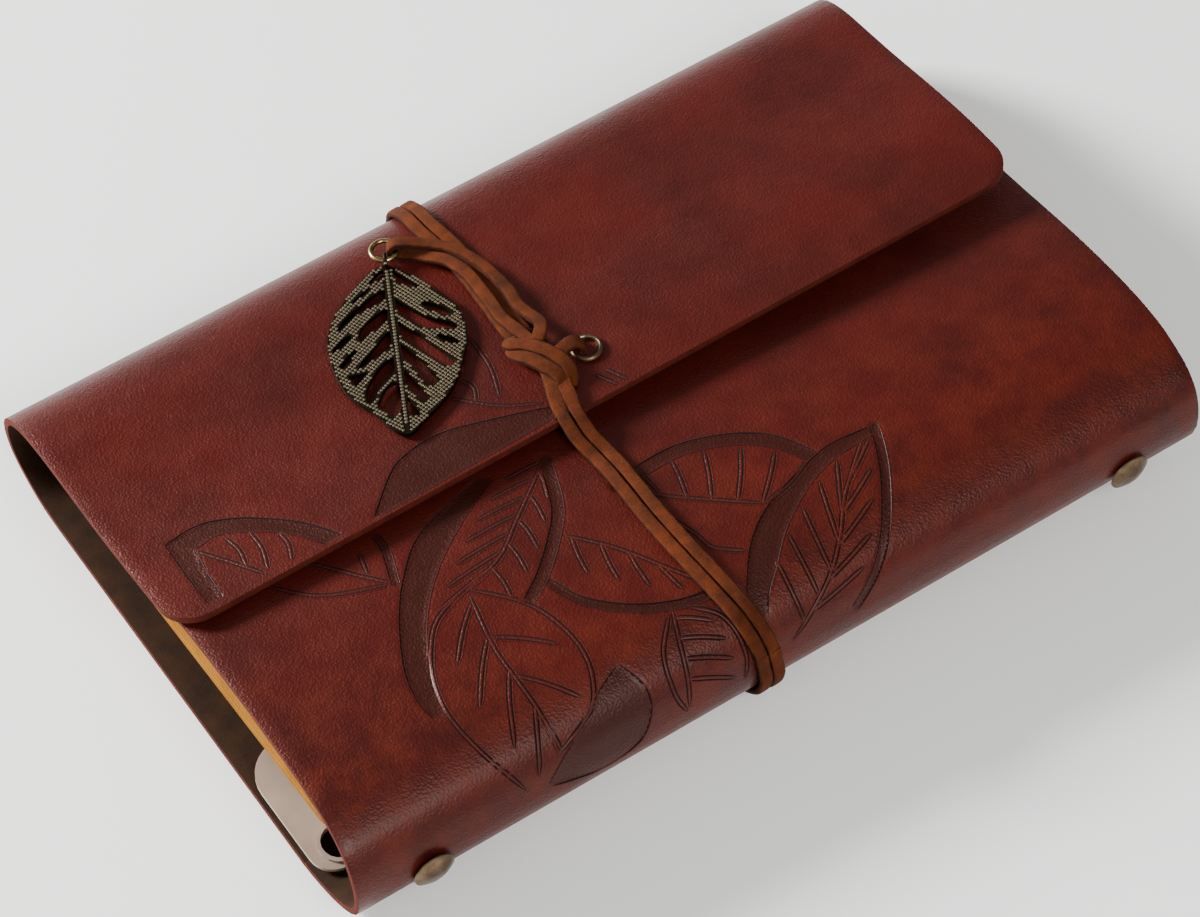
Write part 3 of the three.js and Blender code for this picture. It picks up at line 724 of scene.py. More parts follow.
@dataclass
class Emboss:
    """The leaf design that is pressed into the cover, flat, as (x, run) places."""

    wrap: Wrap
    depth: float = 0.2
    soften: float = 0.3
    band_edge: float = 0.42
    rib: float = 1.05
    fields: list[np.ndarray] = field(default_factory=list)
    strokes: list[tuple[np.ndarray, float]] = field(default_factory=list)
    ribs: list[np.ndarray] = field(default_factory=list)
    lines: list[np.ndarray] = field(default_factory=list)

    def band(self, outer: list[Pair], inner: list[Pair]) -> None:
        """Adds a dark band between two edges that run the same way."""
        edges = [spline(outer, 28), spline(inner, 28)]
        self.fields.append(np.vstack([edges[0], edges[1][::-1]]))
        self.lines.extend(edges)

    def stroke(self, points: list[Pair], width: float) -> None:
        """Adds a dark band of even width along a line, with a groove on each side."""
        line = spline(points, 30)
        self.strokes.append((line, width / 2))
        step = np.gradient(line, axis=0)
        normal = np.column_stack([-step[:, 1], step[:, 0]]) / np.linalg.norm(step, axis=1)[:, None]
        self.lines.extend([line + normal * width / 2, line - normal * width / 2])

    def rib_line(self, *points: Pair) -> None:
        """Adds a raised rib between two grooves."""
        self.ribs.append(spline(list(points), 5 + 3 * len(points)))

    def veins(self, midrib: list[Pair], edge: list[Pair], count: int, span: Pair, sweep: float, reach: float) -> None:
        """Adds the veins on one side of a leaf.

        Args:
            midrib: points from the leaf's stem to its tip.
            edge: points of that side's edge, from stem to tip.
            count: how many veins.
            span: shares of the midrib where the first and last vein start.
            sweep: how much further along the leaf a vein ends.
            reach: how much of the way to the edge it goes.
        """
        rib, rim = spline(midrib, 101), spline(edge, 101)
        for share in np.linspace(*span, count):
            root = rib[int(100 * share)]
            end = min(share + sweep, 1)
            tip = rib[int(100 * end)] * (1 - reach) + rim[int(100 * end)] * reach
            bend = (root + tip) / 2 + (rib[int(100 * min(share + sweep * 0.25, 1))] - root) * -0.25
            self.rib_line(tuple(root), tuple(bend), tuple(tip))

    def signed(self, x: np.ndarray, run: np.ndarray) -> np.ndarray:
        """How far inside the nearest dark area each point lies, in millimetres."""
        best = np.full(x.shape, -9.0)

        def distance(line: np.ndarray, closed: bool) -> tuple[np.ndarray, np.ndarray]:
            near, inside = np.full(x.shape, 99.0), np.zeros(x.shape, bool)
            ends = np.roll(line, -1, axis=0) if closed else line[1:]
            for (ax, ay), (bx, by) in zip(line, ends):
                dx, dy = bx - ax, by - ay
                t = np.clip(((x - ax) * dx + (run - ay) * dy) / max(dx * dx + dy * dy, 1e-9), 0, 1)
                near = np.minimum(near, np.hypot(x - ax - t * dx, run - ay - t * dy))
                if closed and ay != by:
                    crosses = (ay > run) != (by > run)
                    inside ^= crosses & (x < dx * (run - ay) / dy + ax)
            return near, inside

        for loop in self.fields:
            near, inside = distance(loop, True)
            best = np.maximum(best, np.where(inside, near, -near))
        for line, half in self.strokes:
            best = np.maximum(best, half - distance(line, False)[0])
        return best

    def burnish(self, x: np.ndarray, run: np.ndarray) -> np.ndarray:
        """How much each point is pressed, from 0 to 1."""
        t = np.clip(self.signed(x, run) / (2 * self.soften) + 0.5, 0, 1)
        return eased(t)

    def build_lines(self, name: str, leather: bpy.types.Material, cut: bpy.types.Material) -> bpy.types.Object:
        """Makes every groove and rib as thin strips that lie on the cover.

        Args:
            name: the piece's name.
            leather: the cover's own finish.
            cut: the dark finish, painted shade at the bottom of a groove.

        Returns:
            The piece.
        """
        # Each point is (offset across, height, groove shade); groove shade paints the bottom of a groove dark.
        rib_profile = [(-0.74, 0.0, 0), (-0.56, 0.03, 0.1), (-0.48, -0.02, 1), (-0.26, -0.02, 1), (-0.18, 0.05, 0.1),
                       (0.18, 0.05, 0.1), (0.26, -0.02, 1), (0.48, -0.02, 1), (0.56, 0.03, 0.1), (0.74, 0.0, 0)]
        line_profile = [(-0.5, 0.0, 0), (-0.28, 0.02, 0.3), (-0.2, -0.02, 1), (0.2, -0.02, 1), (0.28, 0.02, 0.3),
                        (0.5, 0.0, 0)]
        shape = bmesh.new()
        groove: list[float] = []
        pressed: list[float] = []
        jobs = [(line, rib_profile, self.rib) for line in self.ribs]
        jobs += [(line, line_profile, self.band_edge * 1.6) for line in self.lines]
        for line, profile, width in jobs:
            step = np.gradient(line, axis=0)
            normal = np.column_stack([-step[:, 1], step[:, 0]]) / (np.linalg.norm(step, axis=1)[:, None] + 1e-9)
            taper = np.clip(np.minimum(np.arange(len(line)), np.arange(len(line))[::-1]) / 2.0 + 0.25, 0, 1)
            across = np.array([c[0] for c in profile]) * width
            flat = line[:, None, :] + normal[:, None, :] * across[None, :, None] * taper[:, None, None]
            burn = self.burnish(flat[..., 0], flat[..., 1])
            raised = np.array([c[1] for c in profile])[None, :] * taper[:, None]
            rows = self.wrap.place(flat[..., 0], flat[..., 1], raised + 0.045 - self.depth * burn)
            add_to(shape, grid_sheet(rows))
            groove.extend(np.broadcast_to([c[2] for c in profile], flat.shape[:2]).ravel())
            pressed.extend((burn * 0.7).ravel())
        piece = new_piece(name, shape, leather, cut)
        # Faces wholly at a groove's bottom take the dark finish of painted shade.
        for face in piece.data.polygons:
            face.material_index = int(all(groove[v] > 0.9 for v in face.vertices))
        paint(piece, "groove", np.array(groove))
        paint(piece, "burnish", np.array(pressed))
        return piece


@dataclass
class Cover:
    """The leather sheet, as two pieces that meet out of sight underneath."""

    wrap: Wrap
    finishes: dict[str, bpy.types.Material]
    thickness: float = 1.5
    front_corner: float = 5.0
    flap_corner: float = 7.0
    seam_station: float = 20.0
    fine: float = 0.62
    coarse: float = 2.6
    edge_round: float = 0.22

    def spaced(self, low: float, high: float, fine_from: float, fine_to: float) -> np.ndarray:
        """Places from low to high, closer together where the design is."""
        parts = []
        stretches = (
            (low, fine_from, self.coarse),
            (fine_from, fine_to, self.fine),
            (fine_to, high, self.coarse),
        )
        for a, b, step in stretches:
            if b > a:
                parts.append(np.linspace(a, b, max(2, round((b - a) / step) + 1))[:-1])
        return np.r_[np.concatenate(parts), high]

    def sheet(
        self, name: str, runs: np.ndarray, columns: np.ndarray, corner: Pair, emboss: Emboss
    ) -> bpy.types.Object:
        """Makes one stretch of the cover.

        Args:
            name: the piece's name.
            runs: distances along the cover of its rows.
            columns: places across it, as shares of its half length.
            corner: the run of its free edge, and that edge's corner radius.
            emboss: the design pressed into it.

        Returns:
            The piece, as thick as the leather.
        """
        middle, half = self.wrap.edge(runs)
        tip, radius = corner
        reach = np.clip(radius - np.abs(runs - tip), 0, radius)
        half = half - (radius - np.sqrt(radius**2 - reach**2))
        x = middle[:, None] + half[:, None] * columns[None, :]
        run = np.broadcast_to(runs[:, None], x.shape)
        burn = emboss.burnish(x, run)
        piece = new_piece(
            name,
            grid_sheet(self.wrap.place(x, run, -emboss.depth * burn)),
            self.finishes["leather"],
            self.finishes["inside"],
            self.finishes["raw_edge"],
        )
        paint(piece, "burnish", burn)
        body = piece.modifiers.new("thickness", "SOLIDIFY")
        body.thickness = self.thickness * MM
        body.offset = -1
        body.material_offset = 1
        body.material_offset_rim = 2
        # The grid runs round the book, so its faces start out turned inward.
        piece.data.flip_normals()
        softened = piece.modifiers.new("edge", "BEVEL")
        softened.width = self.edge_round * MM
        softened.segments = 2
        softened.limit_method = "ANGLE"
        softened.angle_limit = math.radians(50)
        return settle(piece)

    def build(self, emboss_front: Emboss, emboss_flap: Emboss) -> None:
        """Makes both stretches and the grooves of their pressed designs."""
        wrap = self.wrap
        seam = wrap.run_at(self.seam_station)
        half = wrap.back_edge[1]
        columns = self.spaced(-half, half, -68, 38) / half
        runs = self.spaced(0, seam, 47, 112)
        runs = np.sort(np.unique(np.r_[runs, self.front_corner * (1 - np.cos(np.linspace(0, math.pi / 2, 8)))]))
        front = self.sheet("front_and_spine_leather", runs, columns, (0, self.front_corner), emboss_front)
        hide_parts("front_cover", "spine_cover")
        spine_bend = {"start": (0, -0.060, 0.014), "end": (0, -0.052, 0.024)}
        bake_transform(front)

        end = wrap.run_at(wrap.last)
        columns = self.spaced(-half, half, -87, 6) / half
        runs = self.spaced(seam, end, end - 29, end)
        runs = np.sort(np.unique(np.r_[runs, end - self.flap_corner * (1 - np.cos(np.linspace(0, math.pi / 2, 8)))]))
        back = self.sheet("back_and_flap_leather", runs, columns, (end, self.flap_corner), emboss_flap)
        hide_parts("back_cover", "flap")
        fore_bend = {"start": (0, 0.062, 0.004), "end": (0, 0.062, 0.018)}
        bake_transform(back)

        for name, emboss, bodies, bend in (
            ("front_emboss_grooves", emboss_front, (Body.BINDING, Body.FRONT), spine_bend),
            ("flap_emboss_grooves", emboss_flap, (Body.BINDING, Body.FLAP), fore_bend),
        ):
            grooves = emboss.build_lines(name, self.finishes["leather"], self.finishes["groove"])
            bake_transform(grooves)
        log.info("cover: %d faces", len(front.data.polygons) + len(back.data.polygons))


def front_design(wrap: Wrap) -> Emboss:
    """The leaves on the front cover and spine."""
    e = Emboss(wrap)
    # Upright leaf with a broad crescent on its outer side.
    e.band(
        [(-30, 48.5), (-45.2, 53.5), (-53.1, 60), (-59.2, 68), (-64.1, 77.3), (-65.7, 84.2), (-65.1, 88.5)],
        [(-28, 50.5), (-36.8, 54.9), (-46.2, 61.2), (-53.2, 67.9), (-58.3, 75.3), (-61.5, 83), (-63.1, 88.6)],
    )
    midrib = [(-17.8, 51.9), (-23.1, 56.2), (-30.2, 61.6), (-37.1, 66.7), (-46, 69.5)]
    right = [(-17.8, 51.9), (-22.1, 62.8), (-26.7, 68.6), (-32.7, 74.1), (-37.8, 77.5)]
    e.rib_line(*midrib)
    e.stroke(right, 2.0)
    e.veins(midrib, [(-22, 48), (-36.8, 54.9), (-46.2, 61.2), (-53.2, 67.9), (-57, 73)], 7, (0.02, 0.8), 0.14, 0.72)
    e.veins(midrib, right, 5, (0.1, 0.8), 0.2, 0.72)
    # Broad leaf over the spine.
    midrib = [(-46, 70.2), (-48.4, 81.9), (-48.6, 89.7), (-48.5, 97), (-48.9, 105.5)]
    right = [(-45.9, 69), (-38.6, 77.7), (-35.8, 86.1), (-35.9, 93.7), (-39, 100.3), (-42.8, 102.8), (-48.9, 105.5)]
    left = [(-46.3, 69.1), (-53.7, 71.8), (-58.4, 77), (-61.5, 83), (-62.6, 90), (-61.2, 98.6), (-56.8, 108.7)]
    for line in (midrib, right, left):
        e.rib_line(*line)
    e.veins(midrib, right, 3, (0.28, 0.78), 0.2, 0.78)
    e.veins(midrib, left, 4, (0.05, 0.72), 0.34, 0.62)
    # Leaf lying along the cover's middle.
    midrib = [(-25.5, 68.5), (-18.8, 76.6), (-12.7, 86.5), (-9, 92)]
    low = [(-33, 75.6), (-30, 82.7), (-23.5, 88.8), (-15.5, 92.7), (-9, 93.9)]
    e.rib_line(*midrib)
    e.stroke(low, 1.5)
    e.veins(midrib, low, 4, (0.08, 0.66), 0.16, 0.55)
    # Leaf with a dark upper side, beyond the lace.
    midrib = [(9.2, 83.9), (1.8, 78), (-5.5, 71.7), (-10, 66)]
    top = [(22.2, 80), (18.2, 73.2), (12.1, 68.4), (3.4, 65.1), (-5.9, 65), (-11, 65.5)]
    e.rib_line(*midrib)
    e.rib_line((22.2, 80), (16, 82.6), (9.2, 83.9))
    e.stroke(top, 2.5)
    e.veins(midrib, top, 5, (0.02, 0.72), 0.14, 0.86)
    e.rib_line((-8, 73.9), (-5, 82.5), (-4.1, 86.4), (1, 90.5))
    # Large leaf at the far side, its tip towards the fore edge.
    left = [(35.7, 80.8), (26, 79.9), (17.2, 81.9), (9.5, 84.5), (3.1, 88.6), (-1.4, 93.6), (-4.3, 98.4), (-3.2, 102.1)]
    e.band(left, [(34.6, 82.2), (25.7, 82.6), (17.9, 85), (9.3, 90.1), (3.3, 95.6), (-0.6, 99.2), (-2.4, 102.2)])
    right = [(35.7, 80.8), (31.9, 89.1), (25.9, 98.4), (20.4, 104.9), (14, 110.5)]
    e.stroke(right, 1.5)
    midrib = [(0.3, 109.5), (10.6, 102.4), (16.7, 96.8), (22.3, 90.3), (28.7, 85.3)]
    e.rib_line(*midrib)
    e.veins(midrib, left[::-1][1:], 6, (0.1, 0.82), 0.14, 0.66)
    e.veins(midrib, right[::-1], 5, (0.16, 0.86), 0.12, 0.72)
    # Small leaf that turns under the spine.
    midrib = [(-17.3, 92.7), (-19.8, 99.4), (-21.6, 106.6), (-22.5, 111)]
    right = [(-14.8, 93.8), (-10.1, 98.6), (-9.2, 106.6), (-10.5, 112)]
    e.rib_line(*midrib)
    e.rib_line(*right)
    e.rib_line((-18.5, 93.5), (-23.5, 99.5), (-24.6, 106.5), (-23, 112))
    e.veins(midrib, right, 4, (0.1, 0.7), 0.22, 0.8)
    # Half leaf in solid colour.
    e.band(
        [(-31.3, 96.8), (-29.2, 102.8), (-30, 107.8), (-34, 113.2), (-42, 114.2), (-51.6, 111.2)],
        [(-32.2, 96.9), (-37.5, 99.4), (-41.5, 102), (-45, 104.6), (-48.5, 107), (-52.2, 110.2)],
    )
    # The near leaf's tip, which runs on from the flap.
    e.rib_line((-75.3, 46.9), (-68, 55.4), (-55.6, 60.9))
    e.rib_line((-66.1, 47), (-60, 55.5), (-55.6, 60.9))
    e.stroke([(-52.6, 49), (-53.1, 53.5), (-55.6, 60.9)], 1.3)
    e.rib_line((-57.2, 51), (-58.5, 56))
    return e


def flap_design(wrap: Wrap) -> Emboss:
    """The leaves on the flap, whose places are measured from its free edge."""
    e = Emboss(wrap)
    end = wrap.run_at(wrap.last)

    def at(*places: Pair) -> list[Pair]:
        return [(x, end - back) for x, back in places]

    e.band(
        at((-51.8, 0.9), (-45.2, 6.9), (-40.5, 9.8), (-32.3, 10.8), (-23.9, 8.4), (-13.1, 4.3), (-10.5, 2.6)),
        at((-50.8, 0.9), (-43, 1.0), (-35, 1.1), (-28, 1.1), (-21, 1.2), (-13.5, 1.5), (-10.2, 2.4)),
    )
    e.band(
        at((-85.4, 18.6), (-78.1, 18.9), (-71.4, 15.8), (-65.7, 11), (-62, 6.8), (-58.5, 1.2)),
        at((-81.7, 14.6), (-75.9, 14.8), (-69, 10.2), (-64.6, 5.6), (-62.9, 2.9), (-62, 1.2)),
    )
    e.band(at((-85.4, 18.6), (-85.9, 10), (-86, 2)), at((-81.7, 14.6), (-82.8, 8), (-83.2, 1.8)))
    e.rib_line(*at((-81.7, 14), (-78, 8), (-74.2, 1.6)))
    for root, tip in (((-75.8, 13.4), (-76.2, 5.2)), ((-71.6, 11.9), (-73.4, 2.4)), ((-67.4, 8.6), (-68.9, 1.6))):
        e.rib_line(*at(root, ((root[0] + tip[0]) / 2 + 0.7, (root[1] + tip[1]) / 2), tip))
    e.rib_line(*at((-14.5, 27.8), (-15.3, 19), (-18, 11.3)))
    e.rib_line(*at((-21.8, 19.6), (-20.6, 16.5), (-22, 13.2)))
    e.rib_line(*at((-26, 17.4), (-19, 9.6), (-12.4, 5.4)))
    e.rib_line(*at((1.4, 5.4), (3.4, 1.0)))
    e.rib_line(*at((-0.8, 5.2), (1.2, 1.0)))
    return e


# ---------------------------------------------------------------------- lace


@dataclass
class Lace:
    """The doubled suede lace: two strands round the book, a knot and a tail loop."""

    finishes: dict[str, bpy.types.Material]
    width: float = 2.5
    thickness: float = 1.25
    apart: float = 1.38
    sides: int = 16
    squareness: float = 0.42  # 1 gives an oval section, 0 a sharp rectangle
    over_front: list[Point] = field(
        default_factory=lambda: [
            (-9.6, -0.5, 30.6), (-10.2, -4.5, 30.5), (-10.2, -8.5, 29.2), (-9.4, -13, 28.1), (-9.3, -19, 28.7),
            (-9.5, -30, 29.1), (-9.0, -40, 29.0), (-7.8, -50, 27.7), (-6.9, -55, 25.9), (-6.2, -58.7, 23.0),
            (-5.8, -60.6, 20.2), (-5.7, -60.9, 19.6),
        ]
    )
    round_back: list[Point] = field(
        default_factory=lambda: [
            (-5.7, -60.9, 19.6), (-5.4, -62.2, 14.7), (-5.2, -62.2, 12.6), (-5.1, -61.1, 8.6), (-5, -58.5, 5.3),
            (-5, -54.6, 2.3), (-5, -50.5, 0.9), (-5, -44, 0.72), (-5, -20, 0.72), (-5, 10, 0.72), (-5, 40, 0.72),
            (-5, 49, 0.72), (-5, 54.2, 0.84), (-5, 56.8, 1.6), (-5, 59, 3.05), (-5, 61.6, 5.7), (-5.1, 63.2, 9.3),
            (-5.1, 63.4, 10.0),
        ]
    )
    over_flap: list[Point] = field(
        default_factory=lambda: [
            (-5.1, 63.4, 10.0), (-5.2, 63.6, 13.2), (-5.5, 62.5, 17.6), (-5.9, 60.5, 20.4), (-6.2, 56.1, 23.4),
            (-6.5, 50, 25.3), (-5.9, 43, 26.1), (-6.1, 33, 27.0), (-7.0, 23, 28.1), (-7.4, 14.8, 29.1),
            (-7.6, 11.5, 29.9),
        ]
    )
    tail: list[Point] = field(
        default_factory=lambda: [
            (-6.2, 13.0, 31.1), (-4.3, 14.8, 31.0), (-3.1, 16.8, 30.6), (-3.6, 19.8, 30.1), (-4.0, 23, 29.7),
            (-3.3, 28, 29.1), (-4.0, 36, 28.3),
            (-6.4, 42.4, 27.8), (-9.8, 46, 27.7), (-12.2, 47.4, 28.2), (-14.1, 48.6, 28.4), (-15.45, 49.2, 27.8),
            (-15.75, 49.3, 26.9), (-15.45, 49.1, 26.05), (-14.2, 48.3, 25.6), (-12.4, 46.4, 25.9),
            (-10.6, 43.6, 26.9), (-8.4, 40.0, 27.9), (-7.3, 35, 28.5), (-7.5, 28, 29.1), (-8.1, 22, 29.8),
            (-7.5, 17, 30.6), (-7.0, 13.4, 31.0),
        ]
    )
    knot_turns: list[list[Point]] = field(
        default_factory=lambda: [
            [(-9.6, 16.6, 29.9), (-10.7, 15.3, 31.0), (-8.6, 12.9, 31.8), (-6.5, 9.7, 32.3), (-5.1, 6.3, 32.1),
             (-5.0, 3.6, 31.3), (-6.4, 1.8, 30.2)],
            [(-10.4, 14.6, 29.8), (-11.2, 13.3, 30.7), (-10.0, 10.4, 31.6), (-8.7, 7.3, 32.0), (-7.5, 4.4, 31.8),
             (-7.4, 2.6, 31.0), (-8.4, 1.6, 30.2)],
            [(-6.9, 14.2, 30.9), (-6.4, 10.6, 30.9), (-6.6, 7.4, 30.8), (-7.6, 4.6, 30.5)],
            [(-8.4, 13.4, 30.6), (-8.0, 10.6, 30.6), (-8.2, 6.6, 30.6), (-9.8, 2.2, 30.75), (-10.9, -1.2, 30.7),
             (-11.5, -3.6, 30.4)],
            [(-6.4, 8.6, 30.5), (-6.5, 5.2, 30.8), (-7.3, 2.2, 31.0), (-8.2, -1.2, 30.8), (-8.9, -3.6, 30.4)],
            [(-5.9, 7.8, 31.3), (-4.2, 8.4, 31.4), (-2.3, 8.9, 31.5), (-0.7, 9.0, 31.2), (0.4, 8.6, 30.4),
             (0.7, 8.2, 29.2), (0.8, 8.0, 28.0)],
        ]
    )

    def strand(
        self, name: str, points: list[Point], shift: float = 0.0
    ) -> tuple[bpy.types.Object, np.ndarray]:
        """Makes one flat strand.

        Args:
            name: the piece's name.
            points: the middle of the lace, in millimetres.
            shift: how far beside that middle the strand lies, along X.

        Returns:
            The piece and the points of its centreline, in metres.
        """
        shape, centres, edge = self.tube([(x + shift, y, z) for x, y, z in points])
        piece = new_piece(name, shape, self.finishes["suede"])
        paint(piece, "edge", edge)
        return piece, centres

    def tube(
        self, points: list[Point], spread: float = 1.0
    ) -> tuple[bmesh.types.BMesh, np.ndarray, np.ndarray]:
        """Lofts a strand's rounded flat section along a route, spread when pulled flat."""
        length = length_of(np.array(points, float))
        centres = spline(points, max(12, round(length / 0.8)))
        tangents = np.gradient(centres, axis=0)
        tangents /= np.linalg.norm(tangents, axis=1)[:, None]
        wide = Vector((1, 0, 0))
        section, side_shade = [], []
        for k in range(self.sides):
            a = 2 * math.pi * k / self.sides
            c, s = math.cos(a), math.sin(a)
            section.append(
                (
                    math.copysign(abs(c) ** self.squareness, c) * self.width * spread / 2,
                    math.copysign(abs(s) ** self.squareness, s) * self.thickness / 2,
                )
            )
            # The rounded sides of the section get painted shade.
            side_shade.append(min(1.0, max(0.0, (abs(c) - 0.8) / 0.18)) * 0.75)
        rng = random.Random(len(points) * 7 + round(points[0][1] * 10))
        waver = [rng.uniform(0.95, 1.05) for _ in centres]
        rings = []
        for i, (centre, tangent) in enumerate(zip(centres, tangents)):
            along = Vector(tangent)
            wide = (wide - along * wide.dot(along)).normalized()
            up = along.cross(wide)
            grow = 0.5 * (waver[i] + waver[i - 1])
            rings.append([Vector(centre) + wide * a * grow + up * b for a, b in section])
        shape = lofted(np.array(rings) * MM)
        edge = np.tile(side_shade, len(rings))
        return shape, centres * MM, edge[: len(shape.verts)]

    def build(self) -> None:
        """Makes every stretch of the lace and attaches each to its body."""
        stretches = (
            ("lace_over_front", self.over_front, Body.FRONT, "object"),
            ("lace_round_back", self.round_back, Body.BINDING, "object"),
            ("lace_over_flap", self.over_flap, Body.FLAP, "knot"),
        )
        for name, points, body, far_end in stretches:
            for side, shift in (("near", -self.apart), ("far", self.apart)):
                piece, path = self.strand(f"{name}_{side}_strand", points, shift)
                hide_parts(f"{name}_{side}")
                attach(piece, body.value)
        shape = bmesh.new()
        side_shade: list[float] = []
        for turn in self.knot_turns:
            part, _, edge = self.tube(turn, spread=1.14)
            add_to(shape, part)
            side_shade.extend(edge)
        knot = new_piece("lace_overhand_knot", shape, self.finishes["suede"])
        paint(knot, "edge", np.array(side_shade))
        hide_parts("lace_knot")
        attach(knot, Body.FLAP.value)
        loop, path = self.strand("lace_tail_loop", self.tail)
        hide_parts("lace_tail")
        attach(loop, Body.FLAP.value)
        log.info("lace: tail %.0f mm", length_of(path) / MM)


# --------------------------------------------------------------------- metal


@dataclass
class Fittings:
    """The eyelet, the rivets, the jump ring and the leaf charm."""

    finishes: dict[str, bpy.types.Material]
    lean: float = math.radians(3)
    ring_at: Point = (-16.7, 49.6, 26.8)
    leaf_axis: Point = (-0.448, -0.894, 0.0846)
    flap_normal: Point = (0, 0.0946, 1)
    ring_radius: float = 2.5
    ring_wire: float = 0.5
    loop_radius: float = 1.2
    loop_wire: float = 0.4
    plate: float = 1.0
    plate_drop: float = 1.25
    bead: float = 0.33
    bead_pitch: float = 0.7
    bead_slope: float = math.radians(48)
    bead_reach: float = 0.2  # how far round a bead the plate has to be whole
    rib_bead: float = 0.4
    rib_pitch: float = 0.8
    leaf_outline: list[Pair] = field(
        default_factory=lambda: [
            (0.1, 0.5), (-0.8, 1), (-2.5, 2.2), (-5.1, 4.2), (-7, 6.3), (-9.2, 9.2), (-11.7, 12.1),
            (-13, 15.7), (-13.3, 19.2), (-13.1, 22.2), (-12, 25.7), (-11, 29.2), (-9.3, 32.6), (-7.2, 35.6),
            (-5, 38), (-3.1, 39.9), (-1.6, 41.7), (0, 42.6), (2.1, 41.4), (4, 38.9), (6, 36.2), (8.7, 33.2),
            (10.7, 29.8), (12.1, 25), (12.6, 20.8), (12.5, 17.1), (11.1, 12.5), (9.1, 9.1), (7.3, 6.6),
            (4.9, 3.7), (2.6, 1.4), (0.8, 0.6),
        ]
    )
    leaf_openings: list[list[Pair]] = field(
        default_factory=lambda: [
            [(-1, 2.1), (-2.4, 3.3), (-4.5, 5.7), (-5.7, 7), (-3.5, 6.4), (-1.6, 4.7)],
            [(-5.3, 10.8), (-7.6, 11.5), (-9.8, 13), (-11, 14.5), (-10.5, 15.1), (-8.3, 13.9), (-6.6, 12.5)],
            [(-0.9, 9.3), (-2.8, 11.2), (-5.1, 13.5), (-7.2, 15.1), (-11.2, 17), (-11.8, 17.8), (-11.3, 18.5),
             (-8.3, 17.9), (-5.8, 17.4), (-3.9, 15.9), (-2.2, 14.2), (-1, 12.1)],
            [(-7.7, 19.4), (-9.1, 19.9), (-11.7, 21.6), (-11.4, 22.3), (-9.6, 21.7), (-8.1, 20.5)],
            [(-0.8, 14.7), (-2.4, 16.8), (-4.6, 18.7), (-6, 20.7), (-7.9, 22.9), (-10.3, 26.1), (-10.4, 27.2),
             (-9.2, 27.6), (-7.3, 26.3), (-5.4, 24.2), (-3.3, 21.7), (-1.2, 18.6)],
            [(-0.8, 20.5), (-2.3, 22.5), (-4.4, 25.3), (-5.5, 27.7), (-6.9, 30.4), (-6.5, 31.4), (-5.1, 31.7),
             (-3.9, 29.8), (-2.8, 27.2), (-1.5, 24.8), (-0.8, 22.7)],
            [(-0.9, 27), (-2.1, 28.9), (-3.3, 31.3), (-4.2, 33.6), (-4.5, 35.1), (-3.6, 35.5), (-2.2, 33.2),
             (-1.1, 31.2), (-0.7, 28.8)],
            [(-0.7, 34), (-1.9, 35.7), (-2.7, 37.6), (-1.9, 38.6), (-0.9, 37.8), (-0.6, 36)],
            [(0.7, 1.8), (0.9, 3.8), (2.3, 4.2), (3.7, 4.6), (2.5, 3), (1.4, 1.9)],
            [(3.4, 5.9), (5.2, 7.7), (7, 9.2), (6.9, 8.5), (5, 6.7), (3.8, 5.8)],
            [(0.8, 7.1), (1.1, 9), (2.9, 10.1), (5.6, 11.5), (7.9, 13.3), (10.1, 15.4), (10.4, 15), (9, 12.8),
             (6.5, 10.5), (3.7, 8.2), (1.9, 6.9)],
            [(0.8, 11.8), (1.1, 14.2), (2.1, 15.4), (4.1, 16.8), (5.6, 18.3), (6.7, 18.7), (6.6, 16.9),
             (5.5, 14.7), (3.7, 13.2), (1.7, 11.8)],
            [(8.1, 17.5), (9.4, 19), (11.6, 20.7), (11.8, 20.1), (10.2, 18.1), (8.5, 16.9)],
            [(7.3, 21.2), (8.9, 23.3), (10.4, 24.9), (11, 24.4), (9.7, 22.5), (7.9, 20.7)],
            [(0.9, 17.1), (0.8, 19.2), (1.3, 21.1), (2.8, 22.5), (4.8, 23.7), (6.5, 24.9), (7.6, 25.5),
             (6.6, 23.7), (5, 21.8), (3.2, 19.4), (1.9, 17.8)],
            [(0.9, 23.7), (0.8, 25.9), (1.3, 27.6), (2.5, 28.9), (4.1, 30.8), (5.5, 33.6), (6.6, 34),
             (6.7, 31.6), (5.8, 29.3), (4.4, 26.8), (2.5, 24.6)],
            [(0.4, 30.3), (0.3, 32.1), (0.4, 35.2), (1, 37.3), (2, 38.3), (3.3, 37.3), (4.7, 35.2), (4.1, 33),
             (2.9, 30.8), (1.4, 29.7)],
            [(9.6, 27), (7.1, 26.7), (6, 26.6), (7, 27.9), (8.3, 29.4), (9.4, 27.6)],
        ]
    )

    def fix(self, piece: bpy.types.Object, body: Body, slot: str, *nodes: str) -> bpy.types.Object:
        """Rides a piece on its body and replaces its CAD nodes."""
        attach(piece, body.value)
        if nodes:
            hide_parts(*nodes)
        return piece

    def build_eyelet(self) -> None:
        """A rolled eyelet over a washer, square to the flap."""
        low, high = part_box("eyelet")
        middle = (low + high) / 2
        profile = [(2.3, -2.4), (2.3, 0.2), (2.4, 0.6), (2.62, 0.8), (2.9, 0.78), (3.15, 0.55), (3.28, 0.22),
                   (3.2, 0.02), (2.7, 0.02), (2.5, -0.4), (2.5, -2.4), (2.3, -2.4)]
        shape = turned(profile, 56)
        normal = Vector((0, 0.11, 1)).normalized()
        turn = normal.to_track_quat("Z", "Y").to_matrix().to_4x4()
        top = Vector((middle.x, middle.y, high.z - 0.9 * MM - 0.35 * MM))
        bmesh.ops.transform(shape, matrix=Matrix.Translation(top) @ turn, verts=shape.verts)
        piece = new_piece("rolled_eyelet", shape, self.finishes["rivet"])
        self.fix(piece, Body.FLAP, "antique_brass", "eyelet")

